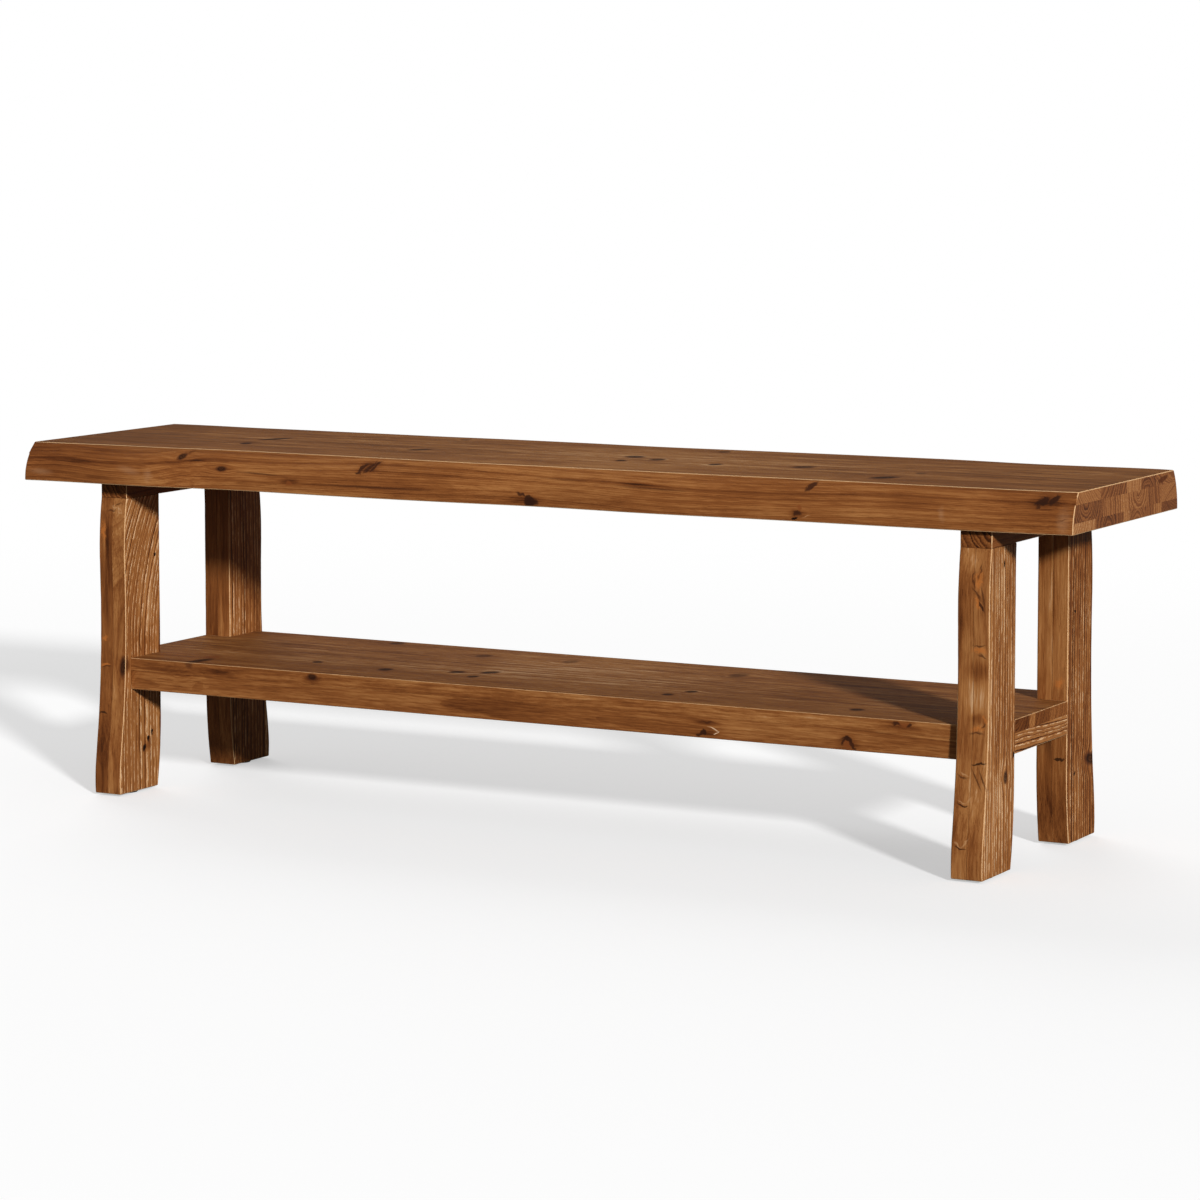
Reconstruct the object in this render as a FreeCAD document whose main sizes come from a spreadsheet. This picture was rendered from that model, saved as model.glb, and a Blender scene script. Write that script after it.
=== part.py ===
import FreeCAD, Part
import enum
import os
import Sketcher

# Shoe bench of stained softwood: a thick laminated seat with a live edge along its front and
# back, on two end frames of shaped legs and cross rails, with a low shelf between the frames.
# Millimetres. The origin is on the floor under the middle of the seat, +X runs along the
# length, -Y is the front and +Z is up.

doc = FreeCAD.newDocument("ShoeBench")
sheet = doc.addObject("Spreadsheet::Sheet", "Sizes")

SIZES = (
    # overall
    ("seat_length", 1450.0, "length of the seat"),
    ("bench_height", 457.0, "floor to the top of the seat"),
    ("seat_reach", 185.5, "middle line to the furthest point of either live edge"),
    # seat
    ("upper_layer", 14.5, "thickness of the seat's upper layer of staves"),
    ("core_layer", 21.0, "thickness of the seat's core layer"),
    ("lower_layer", 13.0, "thickness of the seat's lower layer"),
    ("edge_wander", 28.5, "most that a live edge falls back from its reach"),
    ("front_flare", 30.0, "most that the front edge leans out from top to bottom"),
    ("back_flare", 14.0, "most that the back edge leans out from top to bottom"),
    # legs
    ("seat_overhang", 100.0, "how far the seat runs past the legs at each end"),
    ("leg_gap", 163.6, "clear width between a front leg and the back leg behind it"),
    ("leg_board", 20.0, "thickness of each of the two boards glued into a leg"),
    ("leg_width", 78.2, "front to back width of a leg at its waist"),
    ("top_taper", 5.0, "how far the live face of a leg falls in at its top"),
    ("foot_kick", 16.2, "how far the live face of a leg kicks out at its foot"),
    ("heel_kick", 9.0, "how far the straight face of a leg follows it at the foot"),
    ("heel_height", 92.0, "height over which the straight face curves"),
    # rails and shelf
    ("upper_rail_height", 20.5, "height of the rail between the legs and the seat"),
    ("lower_rail_height", 25.0, "height of the rail and strips under the shelf"),
    ("shelf_height", 179.5, "floor to the top of the shelf"),
    ("shelf_thickness", 16.0, "thickness of the shelf panel"),
    ("shelf_depth", 299.0, "front to back width of the shelf"),
    ("shelf_strip_depth", 40.0, "width of the strips that thicken the shelf's edges"),
    ("shelf_clearance", 0.3, "gap between the shelf and the legs it is cut round"),
    # glides
    ("glide_radius", 14.5, "radius of a glide"),
    ("glide_height", 3.0, "thickness of a glide"),
    ("glide_bevel", 0.8, "bevel round the rim of a glide"),
    ("nail_shank", 1.3, "radius of a glide nail"),
    ("nail_length", 16.0, "length of nail in the foot"),
    ("nail_head", 4.0, "radius of the nail's head"),
    ("nail_head_height", 1.0, "thickness of the nail's head"),
    ("nail_point", 3.0, "length of the nail's point"),
    ("nail_sink", 0.8, "how far the nail's head is sunk in the glide"),
    # dowels
    ("dowel_radius", 4.0, "radius of a dowel"),
    ("dowel_in_leg", 16.0, "length of dowel in the leg"),
    ("dowel_in_rail", 14.0, "length of dowel in the rail"),
    ("dowel_chamfer", 1.0, "chamfer on a dowel's ends"),
    ("dowel_spacing", 40.0, "distance between a leg's two top dowels along the rail"),
    ("glue_gap", 0.1, "room for glue round a dowel or insert and at a dowel's end"),
    # bolts
    ("bolt_radius", 3.0, "radius of a bolt's shank"),
    ("bolt_head", 7.0, "radius of a bolt's head"),
    ("bolt_head_height", 3.5, "height of a bolt's head"),
    ("socket_flats", 4.0, "size across the flats of the socket in a bolt's head"),
    ("socket_depth", 2.2, "depth of that socket"),
    ("seat_bolt_length", 25.0, "length of a seat bolt under its head"),
    ("shelf_bolt_length", 28.0, "length of a shelf bolt under its head"),
    ("seat_bolt_spacing", 100.0, "distance between the two seat bolts in a rail"),
    ("shelf_bolt_spacing", 110.0, "distance between the two shelf bolts in a rail"),
    ("bolt_play", 0.5, "room round a bolt in its rail"),
    ("thread_play", 0.1, "room round a bolt in its insert or washer"),
    ("washer_radius", 9.0, "radius of a washer"),
    ("washer_height", 1.6, "thickness of a washer"),
    ("counterbore_radius", 10.0, "radius of the recess for a bolt's head"),
    ("counterbore_depth", 8.0, "depth of that recess"),
    ("insert_radius", 4.5, "radius of a threaded insert"),
    ("seat_insert_length", 12.0, "length of an insert in the seat"),
    ("shelf_insert_length", 10.0, "length of an insert in the shelf"),
    ("insert_end_room", 0.8, "room over an insert in the shelf"),
)

for row, (alias, millimetres, meaning) in enumerate(SIZES, start=1):
    sheet.set(f"A{row}", meaning)
    sheet.set(f"B{row}", str(millimetres))
    sheet.setAlias(f"B{row}", alias)
doc.recompute()


def size(text):
    """The value in millimetres of an expression in the sheet's names."""
    return float(sheet.evalExpression(text))


# Levels and places that several pieces share, as expressions in the sheet's names.
SEAT_UNDERSIDE = "(Sizes.bench_height - Sizes.upper_layer - Sizes.core_layer - Sizes.lower_layer)"
LEG_TOP = f"({SEAT_UNDERSIDE} - Sizes.upper_rail_height)"
SHELF_UNDERSIDE = "(Sizes.shelf_height - Sizes.shelf_thickness)"
LOWER_RAIL_BOTTOM = f"({SHELF_UNDERSIDE} - Sizes.lower_rail_height)"
LEG_INNER_Y = "(Sizes.leg_gap / 2)"
LEG_WAIST_Y = f"({LEG_INNER_Y} + Sizes.leg_width)"
LEG_TOP_Y = f"({LEG_WAIST_Y} - Sizes.top_taper)"
LEG_OUTER_X = "(Sizes.seat_length / 2 - Sizes.seat_overhang)"
LEG_MIDDLE_X = f"({LEG_OUTER_X} - Sizes.leg_board)"
SHELF_WIDE_X = f"({LEG_MIDDLE_X} - Sizes.leg_board - Sizes.shelf_clearance)"
TONGUE_Y = f"({LEG_INNER_Y} - Sizes.shelf_clearance)"

LEFT_AND_RIGHT = (("left", -1), ("right", 1))
FRONT_AND_BACK = (("front", -1), ("back", 1))
NODES = []


def keep(piece, label):
    """Name a finished piece and add it to those that are exported."""
    piece.Label = label
    NODES.append(piece)
    return piece


def bind(thing, **places):
    """Tie properties of a thing to expressions: at=(x, y, z) is its Placement."""
    for axis, text in zip("xyz", places.pop("at", ())):
        thing.setExpression(f"Placement.Base.{axis}", text)
    for name, text in places.items():
        thing.setExpression(name, text)
    return thing


def block(name, length, width, height, at):
    """A squared piece of timber with its least corner at the place given."""
    return bind(doc.addObject("Part::Box", name), at=at, Length=length, Width=width, Height=height)


def upright_drill(name, radius, height, at):
    """A drill's path that rises from the place given."""
    return bind(doc.addObject("Part::Cylinder", name), at=at, Radius=radius, Height=height)


def level_drill(name, radius, height, at, side):
    """A drill's path that runs level along Y, to the side given."""
    drill = upright_drill(name, radius, height, at)
    drill.Placement.Rotation = FreeCAD.Rotation(FreeCAD.Vector(1, 0, 0), -side * 90)
    return drill


def drilled(name, stock, drills):
    """The stock with the drills' paths taken out."""
    cut = doc.addObject("Part::Cut", name)
    cut.Base = stock
    if len(drills) == 1:
        cut.Tool = drills[0]
    else:
        cut.Tool = doc.addObject("Part::MultiFuse", name + "_drills")
        cut.Tool.Shapes = drills
    return cut


# The live edges of the seat.

# One row for each cross-section: the place along the half length, then for the front and for
# the back edge the share of edge_wander that it falls back and the share of its flare.
EDGE_SHARES = (
    (-1.00, 0.01, 0.75, 0.51, 1.0),
    (-0.90, 0.09, 0.83, 0.47, 1.0),
    (-0.80, 0.03, 1.00, 0.57, 1.0),
    (-0.72, 0.05, 1.00, 0.56, 0.9),
    (-0.65, 0.28, 0.96, 0.53, 1.0),
    (-0.58, 0.43, 0.90, 0.51, 1.0),
    (-0.48, 0.41, 0.92, 0.52, 1.0),
    (-0.38, 0.34, 0.95, 0.50, 1.0),
    (-0.28, 0.32, 0.90, 0.43, 0.9),
    (-0.18, 0.37, 0.78, 0.39, 1.0),
    (-0.08, 0.49, 0.66, 0.42, 1.0),
    (0.02, 0.65, 0.61, 0.54, 1.0),
    (0.12, 0.60, 0.68, 0.52, 0.9),
    (0.22, 0.46, 0.79, 0.33, 1.0),
    (0.32, 0.47, 0.76, 0.24, 1.0),
    (0.42, 0.57, 0.74, 0.13, 1.0),
    (0.52, 0.61, 0.73, 0.07, 1.0),
    (0.62, 0.61, 0.73, 0.12, 0.9),
    (0.72, 0.61, 0.73, 0.35, 0.9),
    (0.82, 0.64, 0.71, 0.28, 1.0),
    (0.91, 0.76, 0.65, 0.06, 1.0),
    (0.96, 0.87, 0.60, 0.01, 1.0),
    (1.00, 1.00, 0.56, 0.11, 1.0),
)
# The power of the curve from the steep lower part of a live edge to its rounded top.
EDGE_ROUNDNESS = 2.3
# The level sections that shape the live edge within one layer, as shares of its thickness.
SECTION_SHARES = (0.0, 0.25, 0.5, 0.75, 1.0)

# The glue lines of each layer between the front and back staves, as shares of the reach.
UPPER_GLUE_SHARES = (-0.385, 0.065, 0.32, 0.575)
CORE_GLUE_SHARES = (-0.345, -0.045, 0.13, 0.44, 0.66)
LOWER_GLUE_SHARES = (-0.46, 0.005, 0.12, 0.405, 0.545, 0.685)


def edge_place(side, fall_share, flare_share, height):
    """Y of a live edge at one cross-section and one height above the seat's underside."""
    thickness = size(f"Sizes.bench_height - {SEAT_UNDERSIDE}")
    flare = flare_share * size("Sizes.front_flare" if side < 0 else "Sizes.back_flare")
    lean = flare * (height / thickness) ** EDGE_ROUNDNESS
    return side * (size("Sizes.seat_reach") - fall_share * size("Sizes.edge_wander") - lean)


def live_stave(name, side, glue_y, low, high):
    """An outer stave: level sections, each with its live edge as one curve, joined upwards."""
    underside = size(SEAT_UNDERSIDE)
    half_length = size("Sizes.seat_length / 2")
    sections = []
    for section_share in SECTION_SHARES:
        height = low + (high - low) * section_share
        z = underside + height
        edge_points = []
        for along_share, *edge_shares in EDGE_SHARES:
            fall_share, flare_share = edge_shares[:2] if side < 0 else edge_shares[2:]
            y = edge_place(side, fall_share, flare_share, height)
            edge_points.append(FreeCAD.Vector(along_share * half_length, y, z))
        live_edge = Part.BSplineCurve()
        live_edge.interpolate(edge_points)
        glue_left = FreeCAD.Vector(-half_length, glue_y, z)
        glue_right = FreeCAD.Vector(half_length, glue_y, z)
        sections.append(Part.Wire([
            live_edge.toShape(),
            Part.makeLine(edge_points[-1], glue_right),
            Part.makeLine(glue_right, glue_left),
            Part.makeLine(glue_left, edge_points[0]),
        ]))
    stave = doc.addObject("Part::Feature", name)
    stave.Shape = Part.makeLoft(sections, True, False)
    return stave


def seat_layer(layer, low, height, glue_shares):
    """One layer of staves, from the front live edge to the back one."""
    staves = []
    base = size(low) - size(SEAT_UNDERSIDE)
    count = len(glue_shares) + 1
    for number in range(1, count + 1):
        name = f"seat_{layer}_stave_{number}"
        if number == 1:
            glue = glue_shares[0] * size("Sizes.seat_reach")
            stave = live_stave(name, -1, glue, base, base + size(height))
        elif number == count:
            glue = glue_shares[-1] * size("Sizes.seat_reach")
            stave = live_stave(name, 1, glue, base, base + size(height))
        else:
            front, back = glue_shares[number - 2:number]
            stave = block(
                name,
                "Sizes.seat_length",
                f"Sizes.seat_reach * ({back} - {front})",
                height,
                ("-Sizes.seat_length / 2", f"Sizes.seat_reach * {front}", low),
            )
        staves.append(stave)
    return staves


def seat():
    """The three glued layers, with the holes for the inserts in the lower one."""
    core_low = f"({SEAT_UNDERSIDE} + Sizes.lower_layer)"
    upper_low = f"({core_low} + Sizes.core_layer)"
    for stave in seat_layer("upper", upper_low, "Sizes.upper_layer", UPPER_GLUE_SHARES):
        keep(stave, stave.Name)
    for stave in seat_layer("core", core_low, "Sizes.core_layer", CORE_GLUE_SHARES):
        keep(stave, stave.Name)
    reach = size("Sizes.seat_reach")
    limits = [-reach] + [share * reach for share in LOWER_GLUE_SHARES] + [reach]
    hole_radius = "Sizes.insert_radius + Sizes.glue_gap"
    lower = seat_layer("lower", SEAT_UNDERSIDE, "Sizes.lower_layer", LOWER_GLUE_SHARES)
    for number, stave in enumerate(lower):
        name = stave.Name
        drills = []
        for end, x_side in LEFT_AND_RIGHT:
            for row, y_side in FRONT_AND_BACK:
                y = y_side * size("Sizes.seat_bolt_spacing") / 2
                edge = size(hole_radius)
                if limits[number] - edge < y < limits[number + 1] + edge:
                    drills.append(upright_drill(
                        f"{name}_{end}_{row}_hole",
                        hole_radius,
                        "Sizes.lower_layer",
                        (
                            f"{x_side} * {LEG_MIDDLE_X}",
                            f"{y_side} * Sizes.seat_bolt_spacing / 2",
                            SEAT_UNDERSIDE,
                        ),
                    ))
        if drills:
            stave.Label = name + "_blank"
            stave = drilled(name + "_drilled", stave, drills)
        keep(stave, name)


# The legs.

# Points of the live face from the top down: the share of the leg's length up from the foot,
# then the shares of top_taper and foot_kick by which it stands back from or out of the waist.
LIVE_FACE_SHARES = (
    (1.000, -1.00, 0.00),
    (0.932, -0.26, 0.00),
    (0.836, 0.00, 0.06),
    (0.732, 0.00, 0.02),
    (0.629, 0.00, -0.02),
    (0.494, 0.00, 0.03),
    (0.358, 0.00, 0.20),
    (0.252, 0.00, 0.45),
    (0.158, 0.00, 0.75),
    (0.070, 0.00, 0.98),
    (0.000, 0.00, 0.96),
)
# The middle point of the curve at the foot of the straight face.
HEEL_MIDDLE_SHARES = (0.50, 0.29)


def leg_profile(name, side):
    """The side view of a leg at X zero: a live outer face and a straight inner one."""
    foot = size("Sizes.glide_height")
    top = size(LEG_TOP)
    inner = size(LEG_INNER_Y)
    waist = size(LEG_WAIST_Y)
    live_points = []
    for height_share, taper_share, kick_share in LIVE_FACE_SHARES:
        y = waist + taper_share * size("Sizes.top_taper") + kick_share * size("Sizes.foot_kick")
        z = foot + height_share * (top - foot)
        live_points.append(FreeCAD.Vector(0, side * y, z))
    live_face = Part.BSplineCurve()
    live_face.interpolate(live_points)
    heel = size("Sizes.heel_height")
    kick = size("Sizes.heel_kick")
    along, out = HEEL_MIDDLE_SHARES
    heel_foot = FreeCAD.Vector(0, side * (inner + kick), foot)
    heel_middle = FreeCAD.Vector(0, side * (inner + out * kick), foot + along * heel)
    heel_top = FreeCAD.Vector(0, side * inner, foot + heel)
    inner_top = FreeCAD.Vector(0, side * inner, top)
    outline = Part.Wire([
        live_face.toShape(),
        Part.makeLine(live_points[-1], heel_foot),
        Part.Arc(heel_foot, heel_middle, heel_top).toShape(),
        Part.makeLine(heel_top, inner_top),
        Part.makeLine(inner_top, live_points[0]),
    ])
    profile = doc.addObject("Part::Feature", name)
    profile.Shape = Part.Face(outline)
    return profile


FOOT_MIDDLE_Y = f"(({LEG_INNER_Y} + Sizes.heel_kick + {LEG_WAIST_Y} + Sizes.foot_kick) / 2)"
LEG_TOP_MIDDLE_Y = f"(({LEG_INNER_Y} + {LEG_TOP_Y}) / 2)"
NAIL_TOP = "(Sizes.glide_height + Sizes.nail_length)"
LOWER_DOWEL_Z = f"({LOWER_RAIL_BOTTOM} + Sizes.lower_rail_height / 2)"
DOWEL_HOLE = "Sizes.dowel_radius + Sizes.glue_gap"


def top_dowel_y(board):
    """Y of the top dowel in one board: further out in the outer board."""
    sign = 1 if board == "outer" else -1
    return f"({LEG_TOP_MIDDLE_Y} + {sign} * Sizes.dowel_spacing / 2)"


def board_middle_x(board):
    """X of the middle of a board's thickness."""
    sign = 1 if board == "outer" else -1
    return f"({LEG_MIDDLE_X} + {sign} * Sizes.leg_board / 2)"


def legs():
    """Four legs of two boards each, glued face to face."""
    for row, y_side in FRONT_AND_BACK:
        profile = leg_profile(f"{row}_leg_profile", y_side)
        for end, x_side in LEFT_AND_RIGHT:
            for board in ("outer", "inner"):
                name = f"{row}_{end}_leg_{board}_board"
                stock = doc.addObject("Part::Extrusion", name + "_blank")
                stock.Base = profile
                stock.DirMode = "Custom"
                stock.Dir = FreeCAD.Vector(1, 0, 0)
                stock.Solid = True
                middle = f"{x_side} * {board_middle_x(board)}"
                bind(
                    stock,
                    at=(f"{middle} - Sizes.leg_board / 2", "0", "0"),
                    LengthFwd="Sizes.leg_board",
                )
                top_dowel = upright_drill(
                    name + "_top_hole",
                    DOWEL_HOLE,
                    "Sizes.dowel_in_leg + Sizes.glue_gap",
                    (
                        middle,
                        f"{y_side} * {top_dowel_y(board)}",
                        f"{LEG_TOP} - Sizes.dowel_in_leg - Sizes.glue_gap",
                    ),
                )
                rail_dowel = level_drill(
                    name + "_rail_hole",
                    DOWEL_HOLE,
                    "Sizes.dowel_in_leg + Sizes.glue_gap",
                    (middle, f"{y_side} * {LEG_INNER_Y}", LOWER_DOWEL_Z),
                    y_side,
                )
                nail = upright_drill(
                    name + "_nail_hole",
                    "Sizes.nail_shank + Sizes.glue_gap",
                    "Sizes.nail_length + Sizes.glue_gap",
                    (
                        f"{x_side} * {LEG_MIDDLE_X}",
                        f"{y_side} * {FOOT_MIDDLE_Y}",
                        "Sizes.glide_height",
                    ),
                )
                keep(drilled(name, stock, [top_dowel, rail_dowel, nail]), name)


# Sketches and bodies.


class SketchAxis(enum.IntEnum):
    """How a sketch numbers its own two axes, which meet at its origin."""

    ACROSS = -1
    UPRIGHT = -2


class PointOf(enum.IntEnum):
    """How a sketch numbers the points of a line or circle."""

    START = 1
    END = 2
    CENTRE = 3


def origin_plane(body, role):
    """One of a body's own origin planes."""
    return next(part for part in body.Origin.OriginFeatures if part.Role == role)


def new_sketch(body, name, role, offset=("0", "0", "0")):
    """A sketch on one of the body's origin planes, moved by expressions in that plane."""
    sketch = body.newObject("Sketcher::SketchObject", name)
    sketch.AttachmentSupport = [(origin_plane(body, role), "")]
    sketch.MapMode = "FlatFace"
    for axis, text in zip("xyz", offset):
        sketch.setExpression(f"AttachmentOffset.Base.{axis}", text)
    return sketch


def tie_point(sketch, name, curve, point, across, up):
    """Bind a point's place in the sketch to two expressions that aren't negative."""
    origin = (SketchAxis.ACROSS, PointOf.START)
    directions = (
        (SketchAxis.UPRIGHT, "DistanceX", across),
        (SketchAxis.ACROSS, "DistanceY", up),
    )
    for axis, kind, text in directions:
        if text == "0":
            sketch.addConstraint(Sketcher.Constraint("PointOnObject", curve, point, axis))
            continue
        constraint = Sketcher.Constraint(kind, *origin, curve, point, size(text))
        number = sketch.addConstraint(constraint)
        sketch.renameConstraint(number, f"{name}_{kind}")
        sketch.setExpression(f"Constraints.{name}_{kind}", text)


def draw_outline(sketch, corners):
    """A closed outline of straight lines through corners given as expressions."""
    places = [FreeCAD.Vector(size(across), size(up), 0) for across, up in corners]
    for number, place in enumerate(places):
        following = places[(number + 1) % len(places)]
        sketch.addGeometry(Part.LineSegment(place, following))
    for number in range(len(places)):
        following = (number + 1) % len(places)
        ends = (number, PointOf.END, following, PointOf.START)
        sketch.addConstraint(Sketcher.Constraint("Coincident", *ends))
    for number, (across, up) in enumerate(corners):
        tie_point(sketch, f"corner_{number}", number, PointOf.START, across, up)


def draw_circles(sketch, radius, centres):
    """Circles of one radius at centres given as expressions."""
    for number, (across, up) in enumerate(centres):
        centre = FreeCAD.Vector(size(across), size(up), 0)
        normal = FreeCAD.Vector(0, 0, 1)
        circle = sketch.addGeometry(Part.Circle(centre, normal, size(radius)))
        rim = sketch.addConstraint(Sketcher.Constraint("Radius", circle, size(radius)))
        sketch.renameConstraint(rim, f"radius_{number}")
        sketch.setExpression(f"Constraints.radius_{number}", radius)
        tie_point(sketch, f"centre_{number}", circle, PointOf.CENTRE, across, up)


def pocket(body, name, sketch, depth=None, upwards=True):
    """A pocket to a depth, or right through, that has to take wood away."""
    doc.recompute()
    before = body.Shape.Volume
    cut = body.newObject("PartDesign::Pocket", name)
    cut.Profile = sketch
    cut.Reversed = upwards
    if depth is None:
        cut.Type = "ThroughAll"
    else:
        cut.setExpression("Length", depth)
    doc.recompute()
    if body.Shape.Volume >= before:
        raise ValueError(f"{body.Label}: {name} cuts nothing")
    return cut


def new_body(name):
    """A body that may hold several separate solids of one kind."""
    body = doc.addObject("PartDesign::Body", name)
    body.AllowCompound = True
    return body


def turned(body, name, outline, offset, axis="V_Axis"):
    """A turned piece from its half outline, about one axis of a sketch across the bench."""
    sketch = new_sketch(body, name + "_outline", "YZ_Plane", offset)
    draw_outline(sketch, outline)
    piece = body.newObject("PartDesign::Revolution", name)
    piece.Profile = sketch
    piece.ReferenceAxis = (sketch, [axis])
    return piece


def four_corners(body, originals):
    """Repeat features of the back right corner at the other three."""
    repeat = body.newObject("PartDesign::MultiTransform", body.Name + "_corners")
    repeat.Originals = originals
    mirrors = []
    for role in ("YZ_Plane", "XZ_Plane"):
        mirror = body.newObject("PartDesign::Mirrored", f"{body.Name}_{role}_mirror")
        mirror.MirrorPlane = (origin_plane(body, role), [""])
        mirrors.append(mirror)
    repeat.Transformations = mirrors
    body.Tip = repeat


# The cross rails.

def rail_blank(name, half_length, height):
    """A squared rail, as wide as a leg is thick, with its underside on the body's XY plane."""
    body = new_body(name)
    sketch = new_sketch(body, name + "_plan", "XY_Plane", ("-Sizes.leg_board", f"-{half_length}", "0"))
    width = "2 * Sizes.leg_board"
    length = f"2 * {half_length}"
    draw_outline(sketch, (("0", "0"), (width, "0"), (width, length), ("0", length)))
    pad = body.newObject("PartDesign::Pad", name + "_timber")
    pad.Profile = sketch
    pad.setExpression("Length", height)
    return body


def bore_upwards(body, what, half_length, radius, centres, depth=None):
    """Holes in a rail's underside, their centres measured from its middle."""
    offset = ("-Sizes.leg_board", f"-{half_length}", "0")
    sketch = new_sketch(body, f"{body.Name}_{what}_plan", "XY_Plane", offset)
    places = [(f"Sizes.leg_board + {x}", f"{half_length} + {y}") for x, y in centres]
    draw_circles(sketch, radius, places)
    pocket(body, f"{body.Name}_{what}", sketch, depth)


def bolt_centres(spacing):
    """The two bolts of a rail, on its middle line."""
    return [("0", f"{side} * {spacing} / 2") for side in (-1, 1)]


def rails():
    """The rails that carry the seat and, lower down, the shelf."""
    for end, x_side in LEFT_AND_RIGHT:
        name = f"{end}_upper_rail"
        body = rail_blank(name, LEG_TOP_Y, "Sizes.upper_rail_height")
        centres = bolt_centres("Sizes.seat_bolt_spacing")
        recess = ("Sizes.counterbore_radius", centres, "Sizes.counterbore_depth")
        bore_upwards(body, "recess", LEG_TOP_Y, *recess)
        bore_upwards(body, "bolt_hole", LEG_TOP_Y, "Sizes.bolt_radius + Sizes.bolt_play", centres)
        dowel_centres = []
        for y_side in (-1, 1):
            for board, outwards in (("outer", 1), ("inner", -1)):
                x = f"{x_side * outwards} * Sizes.leg_board / 2"
                dowel_centres.append((x, f"{y_side} * {top_dowel_y(board)}"))
        depth = "Sizes.dowel_in_rail + Sizes.glue_gap"
        bore_upwards(body, "dowel_hole", LEG_TOP_Y, DOWEL_HOLE, dowel_centres, depth)
        keep(bind(body, at=(f"{x_side} * {LEG_MIDDLE_X}", "0", LEG_TOP)), name)

    for end, x_side in LEFT_AND_RIGHT:
        name = f"{end}_lower_rail"
        body = rail_blank(name, LEG_INNER_Y, "Sizes.lower_rail_height")
        centres = bolt_centres("Sizes.shelf_bolt_spacing")
        recess = ("Sizes.counterbore_radius", centres, "Sizes.counterbore_depth")
        bore_upwards(body, "recess", LEG_INNER_Y, *recess)
        bore_upwards(body, "bolt_hole", LEG_INNER_Y, "Sizes.bolt_radius + Sizes.bolt_play", centres)
        offset = ("-Sizes.leg_board", "0", LEG_INNER_Y)
        end_plan = new_sketch(body, name + "_end_plan", "XZ_Plane", offset)
        middle_height = "Sizes.lower_rail_height / 2"
        end_centres = [
            ("Sizes.leg_board / 2", middle_height),
            ("3 * Sizes.leg_board / 2", middle_height),
        ]
        draw_circles(end_plan, DOWEL_HOLE, end_centres)
        depth = "Sizes.dowel_in_rail + Sizes.glue_gap"
        end_holes = pocket(body, name + "_end_holes", end_plan, depth, upwards=False)
        other_end = body.newObject("PartDesign::Mirrored", name + "_other_end")
        other_end.Originals = [end_holes]
        other_end.MirrorPlane = (origin_plane(body, "XZ_Plane"), [""])
        body.Tip = other_end
        keep(bind(body, at=(f"{x_side} * {LEG_MIDDLE_X}", "0", LOWER_RAIL_BOTTOM)), name)


# The shelf.

# The glue lines between the staves that run out between the legs, as shares of the leg gap
# measured from its front side.
SHELF_GLUE_SHARES = (0.27, 0.38, 0.655, 0.765)


def shelf():
    """A glued panel cut round the legs, its front and back edges thickened by strips."""
    half_depth = "Sizes.shelf_depth / 2"
    limits = [f"(-{TONGUE_Y})"]
    limits += [f"(Sizes.leg_gap * {share} - {LEG_INNER_Y})" for share in SHELF_GLUE_SHARES]
    limits += [TONGUE_Y]
    staves = [(SHELF_WIDE_X, f"(-{half_depth})", limits[0])]
    staves += [(LEG_OUTER_X, front, back) for front, back in zip(limits[:-1], limits[1:])]
    staves += [(SHELF_WIDE_X, limits[-1], f"({half_depth})")]
    hole_radius = "Sizes.insert_radius + Sizes.glue_gap"
    for number, (half_length, front, back) in enumerate(staves, start=1):
        name = f"shelf_stave_{number}"
        stave = block(
            name,
            f"2 * {half_length}",
            f"{back} - {front}",
            "Sizes.shelf_thickness",
            (f"-{half_length}", front, SHELF_UNDERSIDE),
        )
        drills = []
        for end, x_side in LEFT_AND_RIGHT:
            for row, y_side in FRONT_AND_BACK:
                y = y_side * size("Sizes.shelf_bolt_spacing") / 2
                edge = size(hole_radius)
                if size(front) - edge < y < size(back) + edge:
                    drills.append(upright_drill(
                        f"{name}_{end}_{row}_hole",
                        hole_radius,
                        "Sizes.shelf_insert_length + Sizes.insert_end_room",
                        (
                            f"{x_side} * {LEG_MIDDLE_X}",
                            f"{y_side} * Sizes.shelf_bolt_spacing / 2",
                            SHELF_UNDERSIDE,
                        ),
                    ))
        if drills:
            stave.Label = name + "_blank"
            stave = drilled(name + "_drilled", stave, drills)
        keep(stave, name)
    strips = (
        ("shelf_front_strip", f"-{half_depth}"),
        ("shelf_back_strip", f"{half_depth} - Sizes.shelf_strip_depth"),
    )
    for name, front in strips:
        strip = block(
            name,
            f"2 * {SHELF_WIDE_X}",
            "Sizes.shelf_strip_depth",
            "Sizes.lower_rail_height",
            (f"-{SHELF_WIDE_X}", front, LOWER_RAIL_BOTTOM),
        )
        keep(strip, name)


# The glides under the feet.

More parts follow.
